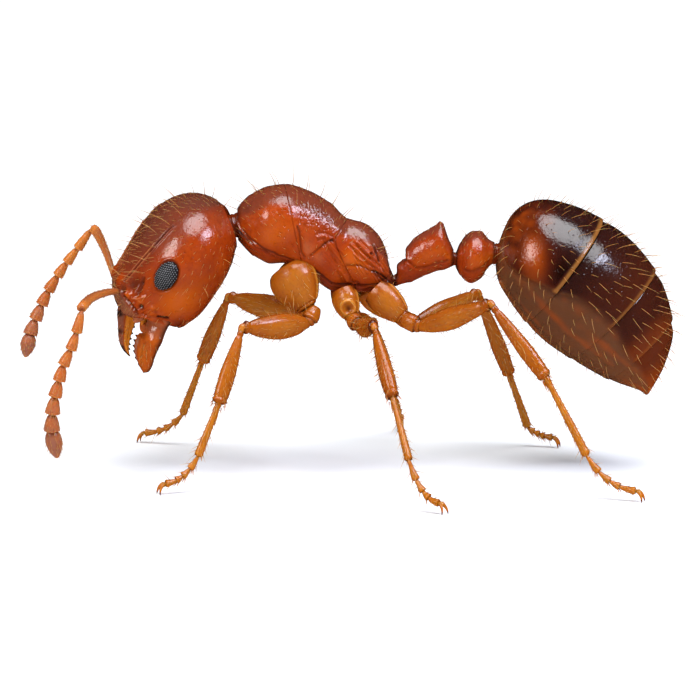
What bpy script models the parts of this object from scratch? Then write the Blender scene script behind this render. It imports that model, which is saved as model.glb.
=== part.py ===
"""A fire ant, a large worker, as a still life-size model that stands on its six feet.

The head faces -Y, +Z is up and +X is the ant's left. The outer shell is divided where its
plates and segments meet. Lengths here are in millimetres, and mesh_object turns them into metres.
"""

import math

import bmesh
import bpy
from mathutils import Matrix, Vector

MM = 0.001
GAP = 0.004             # clear space between neighbouring pieces
FLOOR = -0.04           # the level that the claws stand on, in the frame of the lengths below
BOX_CENTRE = Vector((-0.0488, -0.0709, FLOOR))   # the middle of the stance, moved onto the origin

# The head: from the back of the skull to the lip, rolled a little towards the ant's left.
HEAD_BACK = Vector((0.0, -1.269, 2.630))
HEAD_LIP = Vector((0.0, -2.267, 1.527))
HEAD_ROLL = math.radians(14)
HEAD_MIDDLE = {0.0: 0.0, 0.2: -0.005, 0.45: -0.035, 0.7: -0.08, 0.9: -0.065, 1.0: -0.065}
HEAD_DEPTH = {0.0: 0.53, 0.2: 0.50, 0.5: 0.475, 0.75: 0.50, 0.9: 0.54, 1.0: 0.52}
HEAD_WIDTH = {0.0: 0.76, 0.2: 0.72, 0.45: 0.675, 0.68: 0.655, 0.8: 0.69, 0.9: 0.79, 1.0: 0.93}
MOUTH_PLACE = 0.915     # where the mouth's slanting edge crosses the head's axis
MOUTH_DROP = -0.22
MOUTH_LEAN = math.radians(-27)

EYE_PLACE = 0.552       # along the head, from the back
EYE_ANGLE = math.radians(21)
EYE_HALF_LENGTH = 0.158
EYE_HALF_WIDTH = 0.118
EYE_DOME = 0.075

MANDIBLE_LENGTH = 0.47
MANDIBLE_SPREAD = 0.46
MANDIBLE_CLOSE = 0.24   # the tips lean in, by this share of their length
# Each jaw's lean back from the mouth, turn about its own length and place ahead of and above the mouth.
JAWS = {1: (math.radians(9), math.radians(50), 0.0, 0.0),
        -1: (math.radians(2), math.radians(36), 0.035, 0.045)}

# The trunk: its middle line, half depth and half width along Y.
TRUNK_FRONT = Vector((0.0, -1.125, 2.0))
TRUNK_LENGTH = 1.565
TRUNK_MIDDLE = {0.0: 0.44, 0.035: 0.418, 0.08: 0.395, 0.208: 0.422, 0.304: 0.438, 0.463: 0.344, 0.59: 0.218,
                0.70: 0.127, 0.815: 0.101, 0.90: 0.044, 0.95: -0.036, 0.975: -0.114, 1.0: -0.147}
TRUNK_DEPTH = {0.0: 0.15, 0.035: 0.246, 0.08: 0.334, 0.208: 0.397, 0.304: 0.398, 0.463: 0.425,
               0.59: 0.44, 0.70: 0.37, 0.815: 0.344, 0.90: 0.287, 0.95: 0.198, 0.975: 0.114, 1.0: 0.05}
TRUNK_WIDTH = {0.0: 0.13, 0.035: 0.20, 0.10: 0.31, 0.21: 0.41, 0.32: 0.435, 0.42: 0.40, 0.52: 0.355,
               0.62: 0.33, 0.70: 0.30, 0.81: 0.31, 0.90: 0.295, 0.97: 0.22, 1.0: 0.13}
PRONOTUM_SEAM = (Vector((0, -0.645, 2.85)), Vector((0, -0.505, 2.06)))
METANOTAL_SEAM = (Vector((0, -0.030, 2.50)), Vector((0, 0.020, 1.77)))

# The waist: two knots, each from its front to its back along Y.
PETIOLE_FRONT = Vector((0.0, 0.449, 1.85))
PETIOLE_LENGTH = 0.585
PETIOLE_MIDDLE = {0.0: 0.01, 0.12: 0.10, 0.2: 0.16, 0.3: 0.225, 0.42: 0.27, 0.55: 0.305, 0.79: 0.355,
                  0.91: 0.29, 1.0: 0.25}
PETIOLE_DEPTH = {0.0: 0.045, 0.12: 0.115, 0.2: 0.165, 0.3: 0.215, 0.55: 0.222, 0.79: 0.232, 0.91: 0.145,
                 1.0: 0.08}
PETIOLE_WIDTH = {0.0: 0.09, 0.25: 0.125, 0.5: 0.175, 0.75: 0.20, 0.9: 0.15, 1.0: 0.075}
POSTPETIOLE_FRONT = Vector((0.0, 1.052, 2.085))
POSTPETIOLE_LENGTH = 0.385
POSTPETIOLE_MIDDLE = {0.0: -0.005, 0.45: 0.025, 0.8: 0.06, 1.0: 0.07}
POSTPETIOLE_DEPTH = {0.0: 0.07, 0.15: 0.18, 0.42: 0.256, 0.65: 0.235, 0.85: 0.14, 1.0: 0.10}
POSTPETIOLE_WIDTH = {0.0: 0.075, 0.15: 0.20, 0.42: 0.285, 0.65: 0.26, 0.85: 0.16, 1.0: 0.11}

# The gaster: an egg whose back end droops to a point.
GASTER_FRONT = Vector((0.0, 1.522, 2.459))
GASTER_TIP = Vector((0.0, 2.985, 0.720))
GASTER_MIDDLE = {0.0: 0.20, 0.15: 0.135, 0.3: 0.165, 0.5: 0.21, 0.7: 0.235, 0.85: 0.21, 0.95: 0.12,
                 1.0: 0.0}
GASTER_DEPTH = {0.0: 0.68, 0.15: 0.71, 0.3: 0.68, 0.5: 0.66, 0.7: 0.61, 0.85: 0.555, 0.95: 0.40, 1.0: 0.22}
GASTER_WIDTH = {0.0: 0.72, 0.15: 0.73, 0.35: 0.70, 0.5: 0.68, 0.7: 0.63, 0.85: 0.55, 0.95: 0.38, 1.0: 0.22}
# The plates' edges: place on the axis, lean in degrees.
GASTER_RINGS = ((0.355, 13.0), (0.635, 6.0), (0.825, 3.0))

# Legs: the joints from the body outwards, then the claws' place on the floor.
LEGS = {
    "fore_left": {"coxa": ((0.250, -0.650, 1.980), (0.31, -0.390, 1.650)), "coxa_radius": 0.220,
                  "joints": ((0.31, -0.35, 1.630), (0.38, -0.415, 1.505), (0.80, -1.053, 1.520),
                             (1.05, -1.285, 0.796), (1.20, -1.482, 0.308), (1.35, -1.86, FLOOR))},
    "fore_right": {"coxa": ((-0.250, -0.700, 1.975), (-0.31, -0.440, 1.650)), "coxa_radius": 0.215,
                   "joints": ((-0.31, -0.415, 1.635), (-0.38, -0.485, 1.49), (-0.86, -1.238, 1.585),
                              (-1.15, -1.524, 0.863), (-1.35, -1.737, 0.28), (-1.50, -2.20, FLOOR))},
    "mid_left": {"coxa": ((0.235, -0.075, 1.80), (0.345, 0.010, 1.56)), "coxa_radius": 0.155,
                 "joints": ((0.36, 0.020, 1.545), (0.46, 0.080, 1.49), (1.24, 0.232, 1.596),
                            (1.68, 0.412, 0.960), (2.08, 0.563, 0.430), (2.34, 0.90, FLOOR))},
    "mid_right": {"coxa": ((-0.235, -0.085, 1.78), (-0.345, -0.005, 1.53)), "coxa_radius": 0.155,
                  "joints": ((-0.36, 0.005, 1.515), (-0.45, 0.040, 1.43), (-1.20, 0.247, 1.25),
                             (-1.68, 0.390, 0.60), (-2.10, 0.532, 0.16), (-2.47, 0.578, FLOOR))},
    "hind_left": {"coxa": ((0.225, 0.255, 1.80), (0.335, 0.520, 1.555)), "coxa_radius": 0.158,
                  "joints": ((0.35, 0.535, 1.54), (0.45, 0.690, 1.475), (0.98, 1.368, 1.783),
                             (1.28, 1.905, 1.091), (1.52, 2.290, 0.372), (1.72, 2.82, FLOOR))},
    "hind_right": {"coxa": ((-0.225, 0.175, 1.77), (-0.335, 0.455, 1.485)), "coxa_radius": 0.160,
                   "joints": ((-0.35, 0.475, 1.47), (-0.45, 0.650, 1.365), (-1.00, 1.309, 1.605),
                              (-1.17, 1.649, 0.714), (-1.27, 1.841, 0.158), (-1.18, 2.16, FLOOR))},
}
FEMUR_RADIUS = {"fore": 0.129, "mid": 0.097, "hind": 0.112}
TIBIA_RADIUS = {"fore": 0.088, "mid": 0.090, "hind": 0.080}
TARSUS_RADIUS = 0.040
TARSOMERES = (0.29, 0.23, 0.19, 0.29)    # shares of the foot's length after the long first tarsomere
CLAW_REACH = 0.05
CLAW_SPREAD = 0.04
TOE_HEIGHT = 0.095       # the last tarsomere's end above the floor

# Antennae: the scape's middle line from its socket, then the ends of the flagellum's segments.
SCAPES = {
    "left": ((0.285, -2.303, 1.800), (0.42, -2.384, 1.815), (0.68, -2.525, 1.800), (0.86, -2.612, 1.735),
             (0.90, -2.620, 1.700)),
    "right": ((-0.225, -2.378, 1.920), (-0.42, -2.440, 2.055), (-0.68, -2.520, 2.180),
              (-0.84, -2.580, 2.255), (-0.90, -2.626, 2.285)),
}
FLAGELLA = {
    "left": ((0.90, -2.622, 1.680), (0.92, -2.672, 1.479), (0.94, -2.729, 1.313), (0.95, -2.803, 1.163),
             (0.96, -2.844, 1.009), (0.96, -2.886, 0.853), (0.95, -2.913, 0.683), (0.93, -2.919, 0.510),
             (0.88, -2.874, 0.233)),
    "right": ((-0.90, -2.651, 2.248), (-0.93, -2.781, 2.065), (-0.95, -2.894, 1.918),
              (-0.96, -2.989, 1.780), (-0.96, -3.085, 1.625), (-0.95, -3.154, 1.481),
              (-0.93, -3.221, 1.330), (-0.90, -3.272, 1.181), (-0.84, -3.317, 0.961)),
}
SCAPE_RADII = (0.030, 0.036, 0.042, 0.049, 0.046)
SEGMENT_RADII = (0.054, 0.056, 0.059, 0.063, 0.068, 0.073, 0.078, 0.080)

SHELL_RED = (0.42, 0.075, 0.014, 1)
LEG_AMBER = (0.62, 0.21, 0.03, 1)
GASTER_BROWN = (0.035, 0.010, 0.006, 1)
EYE_GREY = (0.02, 0.02, 0.022, 1)


def keyed(values, t):
    """A smooth curve through a dictionary of place: value, level at each high and low point."""
    places = sorted(values)
    if t <= places[0]:
        return values[places[0]]
    if t >= places[-1]:
        return values[places[-1]]
    i = next(k for k in range(len(places) - 1) if places[k + 1] >= t)

    def slope(k):
        if k == 0 or k == len(places) - 1:
            a, b = (0, 1) if k == 0 else (-2, -1)
            return (values[places[b]] - values[places[a]]) / (places[b] - places[a])
        before = (values[places[k]] - values[places[k - 1]]) / (places[k] - places[k - 1])
        after = (values[places[k + 1]] - values[places[k]]) / (places[k + 1] - places[k])
        return 0.0 if before * after <= 0 else 2 * before * after / (before + after)

    width = places[i + 1] - places[i]
    u = (t - places[i]) / width
    low, high = values[places[i]], values[places[i + 1]]
    return (low * (2 * u**3 - 3 * u**2 + 1) + slope(i) * width * (u**3 - 2 * u**2 + u)
            + high * (3 * u**2 - 2 * u**3) + slope(i + 1) * width * (u**3 - u**2))


def rounding(t, front, back):
    """The share of full size at t where the first `front` and last `back` of the length are domed."""
    share = 1.0
    if front and t < front:
        share *= math.sqrt(max(0.0, 1 - ((front - t) / front) ** 2))
    if back and 1 - t < back:
        share *= math.sqrt(max(0.0, 1 - ((back - (1 - t)) / back) ** 2))
    return share


def superellipse(angle, power):
    """A point on a unit superellipse: power 2 is round, and more is boxier."""
    c, s = math.cos(angle), math.sin(angle)
    return math.copysign(abs(c) ** (2 / power), c), math.copysign(abs(s) ** (2 / power), s)


def mesh_object(name, bm, colour, roughness=0.3):
    """Closes and turns the mesh outwards, scales it to metres and gives it a material of its own."""
    bmesh.ops.recalc_face_normals(bm, faces=bm.faces)
    bmesh.ops.translate(bm, verts=bm.verts, vec=-BOX_CENTRE)
    bmesh.ops.scale(bm, verts=bm.verts, vec=(MM, MM, MM))
    mesh = bpy.data.meshes.new(name)
    bm.to_mesh(mesh)
    bm.free()
    mesh.shade_smooth()
    mesh.set_sharp_from_angle(angle=math.radians(40))
    material = bpy.data.materials.new(name)
    material.use_nodes = True
    shader = material.node_tree.nodes["Principled BSDF"]
    shader.inputs["Base Color"].default_value = colour
    shader.inputs["Roughness"].default_value = roughness
    mesh.materials.append(material)
    piece = bpy.data.objects.new(name, mesh)
    bpy.context.scene.collection.objects.link(piece)
    return piece


def cap(bm, ring, point):
    pole = bm.verts.new(point)
    for i, vert in enumerate(ring):
        bm.faces.new((vert, ring[(i + 1) % len(ring)], pole))


def bridge(bm, ring, following):
    for i in range(len(ring)):
        j = (i + 1) % len(ring)
        bm.faces.new((ring[i], ring[j], following[j], following[i]))


def loft(start, end, side, middle, depth, width, rings, count, domes=(0.5, 0.5), power=2.2):
    """A closed body round the line start-end, from its middle, half depth and half width along it."""
    bm = bmesh.new()
    axis = end - start
    up = side.cross(axis).normalized()
    if up.z < 0:
        up = -up
    previous = None
    for k in range(rings + 1):
        t = 0.5 - 0.5 * math.cos(math.pi * k / rings)
        share = rounding(t, *domes)
        centre = start + axis * t + up * keyed(middle, t)
        if share < 1e-6:
            if previous:
                cap(bm, previous, centre)
            pole = centre
            continue
        half_depth, half_width = keyed(depth, t) * share, keyed(width, t) * share
        ring = []
        for i in range(count):
            across, above = superellipse(2 * math.pi * i / count, power)
            ring.append(bm.verts.new(centre + side * across * half_width + up * above * half_depth))
        if previous is None:
            cap(bm, ring, pole if k else centre)
        else:
            bridge(bm, previous, ring)
        previous = ring
    if domes[1] == 0:
        cap(bm, previous, end + up * keyed(middle, 1.0))
    return bm


def cut(bm, point, normal):
    """Cuts off what lies on the side that the normal points to, and closes the cut."""
    geometry = bm.verts[:] + bm.edges[:] + bm.faces[:]
    bmesh.ops.bisect_plane(bm, geom=geometry, dist=1e-5, plane_co=point, plane_no=normal, clear_outer=True)
    rim = [edge for edge in bm.edges if edge.is_boundary]
    if rim:
        bmesh.ops.holes_fill(bm, edges=rim, sides=0)
    return bm


def seam_plane(seam, reach):
    """A plane across the body through a seam's upper and lower ends, moved back by `reach`."""
    along = seam[1] - seam[0]
    normal = Vector((1, 0, 0)).cross(along).normalized()
    if normal.y < 0:
        normal = -normal
    return seam[0] + normal * reach, normal


def tube_rings(bm, points, radii, count, flatness=1.0):
    """Rings round a bent line: each lies across the line, with its first vertex to the ant's side."""
    rings = []
    for k, point in enumerate(points):
        before, after = points[max(k - 1, 0)], points[min(k + 1, len(points) - 1)]
        along = (after - before).normalized()
        side = along.cross(Vector((0, 0, 1)))
        if side.length < 0.2:
            side = along.cross(Vector((0, 1, 0)))
        side.normalize()
        up = side.cross(along)
        ring = []
        for i in range(count):
            angle = 2 * math.pi * i / count
            offset = side * math.cos(angle) * flatness + up * math.sin(angle)
            ring.append(bm.verts.new(point + offset * radii[k]))
        if rings:
            bridge(bm, rings[-1], ring)
        rings.append(ring)
    return rings


def tube(points, radii, count, flatness=1.0):
    bm = bmesh.new()
    rings = tube_rings(bm, points, radii, count, flatness)
    cap(bm, rings[0], points[0] - (points[1] - points[0]).normalized() * radii[0] * 0.3)
    cap(bm, rings[-1], points[-1] + (points[-1] - points[-2]).normalized() * radii[-1] * 0.3)
    return bm


def limb(start, end, radii, rings, count, flatness, bend, trims):
    """One leg segment: a tube whose radius follows `radii`, shortened by `trims` at its two ends."""
    along = (end - start).normalized()
    first = start + along * (trims[0] + radii[0.0] * 0.3)
    last = end - along * (trims[1] + radii[1.0] * 0.3)
    places = [0.5 - 0.5 * math.cos(math.pi * k / rings) for k in range(rings + 1)]
    lift = Vector((0, 0, bend))
    points = [first.lerp(last, t) + lift * math.sin(math.pi * t) for t in places]
    return tube(points, [keyed(radii, t) for t in places], count, flatness)


def head_frame():
    """The head's axes: along to the mouth, out to its left and up from its face."""
    along = (HEAD_LIP - HEAD_BACK).normalized()
    roll = Matrix.Rotation(-HEAD_ROLL, 3, along)
    side = roll @ Vector((1, 0, 0))
    face = side.cross(along)
    if face.z < 0:
        face = -face
    return along, side, face


def head_surface(t, angle):
    """A point on the head: t from back to mouth, angle from its left side up towards the face."""
    along, side, face = head_frame()
    across, above = superellipse(angle, 2.2)
    share = rounding(t, 0.5, 0.5)
    centre = HEAD_BACK.lerp(HEAD_LIP, t) + face * keyed(HEAD_MIDDLE, t)
    return (centre + side * across * keyed(HEAD_WIDTH, t) * share
            + face * above * keyed(HEAD_DEPTH, t) * share)


def mouth_plane():
    along, side, face = head_frame()
    point = HEAD_BACK.lerp(HEAD_LIP, MOUTH_PLACE) + face * MOUTH_DROP
    return point, (along * math.cos(MOUTH_LEAN) + face * math.sin(MOUTH_LEAN)).normalized()


def head():
    side = head_frame()[1]
    bm = loft(HEAD_BACK, HEAD_LIP, side, HEAD_MIDDLE, HEAD_DEPTH, HEAD_WIDTH, rings=18, count=24)
    mesh_object("head", cut(bm, *mouth_plane()), SHELL_RED)


def eye(name, hand):
    """A low oval dome that follows the head's surface under it."""
    angle = EYE_ANGLE if hand > 0 else math.pi - EYE_ANGLE
    length = (HEAD_LIP - HEAD_BACK).length
    top = head_surface(EYE_PLACE, angle)
    near = head_surface(EYE_PLACE, angle + 0.01)
    turn = EYE_HALF_WIDTH / ((near - top).length / 0.01)
    normal = (head_surface(EYE_PLACE + 0.01, angle) - top).cross(near - top).normalized()
    if normal.x * hand < 0:
        normal = -normal
    bm = bmesh.new()
    outer, inner = [], []
    for share in (1.0, 0.8, 0.5):
        upper, lower = [], []
        for i in range(12):
            phase = 2 * math.pi * i / 12
            skin = head_surface(EYE_PLACE + share * math.cos(phase) * EYE_HALF_LENGTH / length,
                                angle + share * math.sin(phase) * turn)
            lower.append(bm.verts.new(skin + normal * GAP))
            if share < 1:
                upper.append(bm.verts.new(skin + normal * (GAP + EYE_DOME * math.sqrt(1 - share**2))))
        inner.append(lower)
        outer.append(upper or lower)
    for layer, height in ((outer, GAP + EYE_DOME), (inner, GAP)):
        for ring, following in zip(layer, layer[1:]):
            bridge(bm, ring, following)
        cap(bm, layer[-1], top + normal * height)
    mesh_object(name, bm, EYE_GREY, 0.25)


def mandible(name, hand):
    """A blade that widens to a toothed inner edge and ends in a point."""
    along, side, face = head_frame()
    point, forward = mouth_plane()
    drop, turn, ahead, above = JAWS[hand]
    root = point + side * hand * MANDIBLE_SPREAD + forward * (GAP + 0.03 + ahead) + face * above
    forward = (Matrix.Rotation(drop, 3, side) @ forward - side * hand * MANDIBLE_CLOSE).normalized()
    outward = (side * hand * math.sin(turn) - face * math.cos(turn)).normalized()
    outward = (outward - forward * outward.dot(forward)).normalized()
    thick = forward.cross(outward).normalized()
    inner = {0.0: 0.150, 0.12: 0.160, 0.3: 0.185, 0.6: 0.155, 0.85: 0.105, 1.0: 0.06}
    outer = {0.0: 0.155, 0.3: 0.105, 0.6: 0.055, 0.85: 0.0, 1.0: -0.045}
    swell = {0.0: 0.085, 0.3: 0.075, 0.7: 0.05, 1.0: 0.014}
    count, rings = 8, 12
    bm = bmesh.new()
    previous = None
    for k in range(rings + 1):
        t = k / rings
        tooth = 0.018 if t > 0.3 and k % 2 else 0.0
        low, high = -keyed(inner, t) - tooth, keyed(outer, t)
        centre = root + forward * MANDIBLE_LENGTH * t + outward * (low + high) / 2
        ring = []
        for i in range(count):
            angle = 2 * math.pi * i / count
            ring.append(bm.verts.new(centre + outward * math.cos(angle) * (high - low) / 2
                                     + thick * math.sin(angle) * keyed(swell, t)))
        if previous:
            bridge(bm, previous, ring)
        else:
            bm.faces.new(ring)
        previous = ring
    bm.faces.new(previous)
    mesh_object(name, bm, SHELL_RED)


def trunk():
    """The trunk's one outline, parted at its two seams."""
    side = Vector((1, 0, 0))
    front, back = TRUNK_FRONT, TRUNK_FRONT + Vector((0, TRUNK_LENGTH, 0))
    plates = {"pronotum": (None, PRONOTUM_SEAM), "mesothorax": (PRONOTUM_SEAM, METANOTAL_SEAM),
              "propodeum": (METANOTAL_SEAM, None)}
    for name, (before, after) in plates.items():
        bm = loft(front, back, side, TRUNK_MIDDLE, TRUNK_DEPTH, TRUNK_WIDTH, rings=24, count=20,
                  domes=(0.0, 0.0))
        if before:
            point, normal = seam_plane(before, GAP / 2)
            cut(bm, point, -normal)
        if after:
            cut(bm, *seam_plane(after, -GAP / 2))
        mesh_object(name, bm, SHELL_RED)


def waist():
    side = Vector((1, 0, 0))
    knots = (
        ("petiole", PETIOLE_FRONT, PETIOLE_LENGTH, PETIOLE_MIDDLE, PETIOLE_DEPTH, PETIOLE_WIDTH),
        ("postpetiole", POSTPETIOLE_FRONT, POSTPETIOLE_LENGTH, POSTPETIOLE_MIDDLE, POSTPETIOLE_DEPTH,
         POSTPETIOLE_WIDTH),
    )
    for name, front, length, middle, depth, width in knots:
        bm = loft(front, front + Vector((0, length, 0)), side, middle, depth, width, rings=11, count=14,
                  domes=(0.0, 0.0), power=2.0)
        mesh_object(name, bm, SHELL_RED)


def gaster():
    """The gaster's egg, parted into its four visible rings of plates."""
    side = Vector((1, 0, 0))
    axis = (GASTER_TIP - GASTER_FRONT).normalized()
    planes = [(GASTER_FRONT.lerp(GASTER_TIP, place), Matrix.Rotation(math.radians(lean), 3, side) @ axis)
              for place, lean in GASTER_RINGS]
    for i in range(len(planes) + 1):
        bm = loft(GASTER_FRONT, GASTER_TIP, side, GASTER_MIDDLE, GASTER_DEPTH, GASTER_WIDTH, rings=20,
                  count=24, power=2.05)
        if i > 0:
            point, normal = planes[i - 1]
            cut(bm, point + normal * GAP / 2, -normal)
        if i < len(planes):
            point, normal = planes[i]
            cut(bm, point - normal * GAP / 2, normal)
        mesh_object(f"gaster_{i + 1}", bm, GASTER_BROWN)


def foot(name, heel, claws):
    """The last four tarsomeres in one bent line, with two hooked claws that end flat on the floor."""
    ahead = Vector((claws.x - heel.x, claws.y - heel.y, 0)).normalized()
    toe = claws - ahead * CLAW_REACH + Vector((0, 0, TOE_HEIGHT))
    bow = Vector((heel.x * 0.6 + toe.x * 0.4, heel.y * 0.6 + toe.y * 0.4, toe.z + 0.012))
    start = heel + (bow - heel).normalized() * (GAP + 0.008)

    def line(t):
        return start * (1 - t) ** 2 + bow * 2 * t * (1 - t) + toe * t**2

    points, radii = [], []
    reached = 0.0
    for share in TARSOMERES:
        for place, radius in ((0.04, 0.018), (0.45, 0.026), (0.92, 0.034)):
            points.append(line(reached + share * place))
            radii.append(radius)
        reached += share
    bm = bmesh.new()
    rings = tube_rings(bm, points, radii, 8)
    cap(bm, rings[0], points[0] - (points[1] - points[0]).normalized() * 0.006)
    aside = ahead.cross(Vector((0, 0, 1)))
    down = ahead.cross(Vector((0, 0, -1)))
    last = rings[-1]
    for hand, corners in ((1, (6, 7, 0, 1, 2)), (-1, (2, 3, 4, 5, 6))):
        base = [last[i] for i in corners]
        centre = sum((v.co for v in base), Vector()) / 5
        drop = centre.z - FLOOR + 0.004
        previous, offsets = base, [v.co - centre for v in base]
        for turn, size in ((38, 0.62), (72, 0.42), (90, 0.0)):
            angle = math.radians(turn)
            place = (centre + ahead * CLAW_REACH * math.sin(angle) + aside * hand * CLAW_SPREAD * turn / 90
                     - Vector((0, 0, drop * (1 - math.cos(angle)))))
            if size == 0:
                cap(bm, previous, place)
                continue
            hook = Matrix.Rotation(angle, 3, down)
            ring = [bm.verts.new(place + hook @ offset * size) for offset in offsets]
            bridge(bm, previous, ring)
            previous = ring
    cut(bm, Vector((0, 0, FLOOR)), Vector((0, 0, -1)))
    mesh_object(name, bm, LEG_AMBER)


def leg(name):
    plan = LEGS[name]
    kind = name.split("_")[0]
    top, bottom = (Vector(p) for p in plan["coxa"])
    socket, hip, knee, ankle, heel, claws = (Vector(p) for p in plan["joints"])
    round_hip = plan["coxa_radius"]
    thigh, shin = FEMUR_RADIUS[kind], TIBIA_RADIUS[kind]
    segments = (
        ("coxa", top, bottom, {0.0: round_hip * 0.4, 0.12: round_hip * 0.8, 0.4: round_hip,
                               0.75: round_hip * 0.72, 1.0: 0.07}, 6, 10, 0.82, 0.0, (GAP, GAP)),
        ("trochanter", socket, hip, {0.0: 0.045, 0.5: 0.08, 1.0: 0.045}, 3, 8, 0.9, 0.0, (GAP, GAP)),
        ("femur", hip, knee, {0.0: 0.04, 0.2: thigh * 0.8, 0.45: thigh, 0.75: thigh * 0.75, 0.93: 0.058,
                              1.0: 0.034}, 7, 8, 0.78, -0.018, (0.02, 0.012)),
        ("tibia", knee, ankle, {0.0: 0.022, 0.1: 0.040, 0.35: shin * 0.8, 0.65: shin, 0.9: shin * 0.88,
                                1.0: 0.045}, 6, 8, 0.8, 0.0, (0.032, GAP)),
        ("basitarsus", ankle, heel, {0.0: 0.026, 0.1: 0.036, 0.5: TARSUS_RADIUS, 0.92: TARSUS_RADIUS,
                                     1.0: 0.03}, 3, 8, 0.85, 0.0, (GAP, GAP)),
    )
    for part, start, end, radii, rings, count, flatness, bend, trims in segments:
        bm = limb(start, end, radii, rings, count, flatness, bend, trims)
        mesh_object(f"{name}_{part}", bm, LEG_AMBER)
    foot(f"{name}_foot", heel, claws)


def antenna(hand):
    """The long first segment, then the flagellum of eight cup-shaped segments."""
    mesh_object(f"scape_{hand}", tube([Vector(p) for p in SCAPES[hand]], SCAPE_RADII, 8), LEG_AMBER)
    ends = [Vector(p) for p in FLAGELLA[hand]]
    points, radii = [], []
    for i, (start, end) in enumerate(zip(ends, ends[1:])):
        last = i == len(SEGMENT_RADII) - 1
        shape = ((0.05, 0.6), (0.4, 0.92), (0.75, 0.85), (0.95, 0.45)) if last \
            else ((0.05, 0.6), (0.45, 0.88), (0.88, 1.0))
        for place, share in shape:
            points.append(start.lerp(end, place))
            radii.append(SEGMENT_RADII[i] * share)
    mesh_object(f"flagellum_{hand}", tube(points, radii, 8), LEG_AMBER)


def main():
    for old in list(bpy.data.objects):
        bpy.data.objects.remove(old, do_unlink=True)
    head()
    trunk()
    waist()
    gaster()
    for name, hand in (("left", 1), ("right", -1)):
        eye(f"eye_{name}", hand)
        mandible(f"mandible_{name}", hand)
        antenna(name)
    for name in LEGS:
        leg(name)


main()
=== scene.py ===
import math

import bpy
import numpy as np
from mathutils import Matrix, Vector


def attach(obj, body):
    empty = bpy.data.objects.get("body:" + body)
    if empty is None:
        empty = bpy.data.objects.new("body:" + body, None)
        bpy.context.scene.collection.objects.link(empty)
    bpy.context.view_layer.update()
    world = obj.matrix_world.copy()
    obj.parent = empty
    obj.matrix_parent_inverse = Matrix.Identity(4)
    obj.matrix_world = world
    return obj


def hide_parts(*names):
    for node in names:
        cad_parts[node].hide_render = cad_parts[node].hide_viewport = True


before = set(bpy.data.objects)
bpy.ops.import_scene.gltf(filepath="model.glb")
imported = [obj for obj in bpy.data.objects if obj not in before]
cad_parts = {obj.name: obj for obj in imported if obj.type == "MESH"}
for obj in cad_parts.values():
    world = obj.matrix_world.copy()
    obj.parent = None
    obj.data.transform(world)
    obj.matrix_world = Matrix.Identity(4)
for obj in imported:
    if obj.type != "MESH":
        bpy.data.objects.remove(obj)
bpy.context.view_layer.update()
print("frame loaded,", len(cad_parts), "nodes")

# All lengths below are in millimetres in the ant's own frame: the head faces -Y and +X is its left.
mm = 0.001
frameOrigin = np.array((-0.0488, -0.0709, -0.04))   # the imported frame's origin
floorLevel = -0.04


def unit(v):
    v = np.asarray(v, float)
    return v / np.maximum(np.linalg.norm(v, axis=-1, keepdims=True), 1e-12)


def distance(points, place):
    return np.linalg.norm(points - place, axis=-1)


def keyed(values, t):
    # a smooth curve through a dictionary of place: value, level at each high and low point
    places = np.array(sorted(values), float)
    levels = np.array([values[p] for p in sorted(values)], float)
    gaps = np.diff(places)
    rises = np.diff(levels) / gaps
    slopes = np.zeros(len(places))
    slopes[0], slopes[-1] = rises[0], rises[-1]
    same = rises[:-1] * rises[1:] > 0
    total = np.where(same, rises[:-1] + rises[1:], 1.0)
    slopes[1:-1] = np.where(same, 2 * rises[:-1] * rises[1:] / total, 0.0)
    t = np.clip(np.asarray(t, float), places[0], places[-1])
    i = np.clip(np.searchsorted(places, t) - 1, 0, len(gaps) - 1)
    u, w = (t - places[i]) / gaps[i], gaps[i]
    return (levels[i] * (2 * u**3 - 3 * u**2 + 1) + slopes[i] * w * (u**3 - 2 * u**2 + u)
            + levels[i + 1] * (3 * u**2 - 2 * u**3) + slopes[i + 1] * w * (u**3 - u**2))


def rounding(t, front, back):
    share = np.ones_like(t)
    if front:
        share *= np.where(t < front, np.sqrt(np.clip(1 - ((front - t) / front) ** 2, 0, 1)), 1)
    if back:
        share *= np.where(1 - t < back, np.sqrt(np.clip(1 - ((back - 1 + t) / back) ** 2, 0, 1)), 1)
    return share


def blunt(k, front, back, margin=0.002):
    # rounds off both ends of a limb, and leaves them a small opening for the cap
    return rounding(np.clip(k, margin, 1 - margin), front, back)


def superellipse(angle, power):
    c, s = np.cos(angle), np.sin(angle)
    return np.sign(c) * np.abs(c) ** (2 / power), np.sign(s) * np.abs(s) ** (2 / power)


def ramp(low, high, x):
    # eases from 0 at low to 1 at high, which may lie either way round
    u = np.clip((x - low) / (high - low), 0, 1)
    return u * u * (3 - 2 * u)


def lineDistance(points, line):
    # how far each point is from a bent line, and how far along it the nearest place is
    line = np.asarray(line, float)
    best = np.full(points.shape[:-1], 1e9)
    along = np.zeros(points.shape[:-1])
    for k in range(len(line) - 1):
        step = line[k + 1] - line[k]
        u = np.clip(((points - line[k]) @ step) / (step @ step), 0, 1)
        d = np.linalg.norm(points - line[k] - u[..., None] * step, axis=-1)
        closer = d < best
        best = np.where(closer, d, best)
        along = np.where(closer, (k + u) / (len(line) - 1), along)
    return best, along


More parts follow.
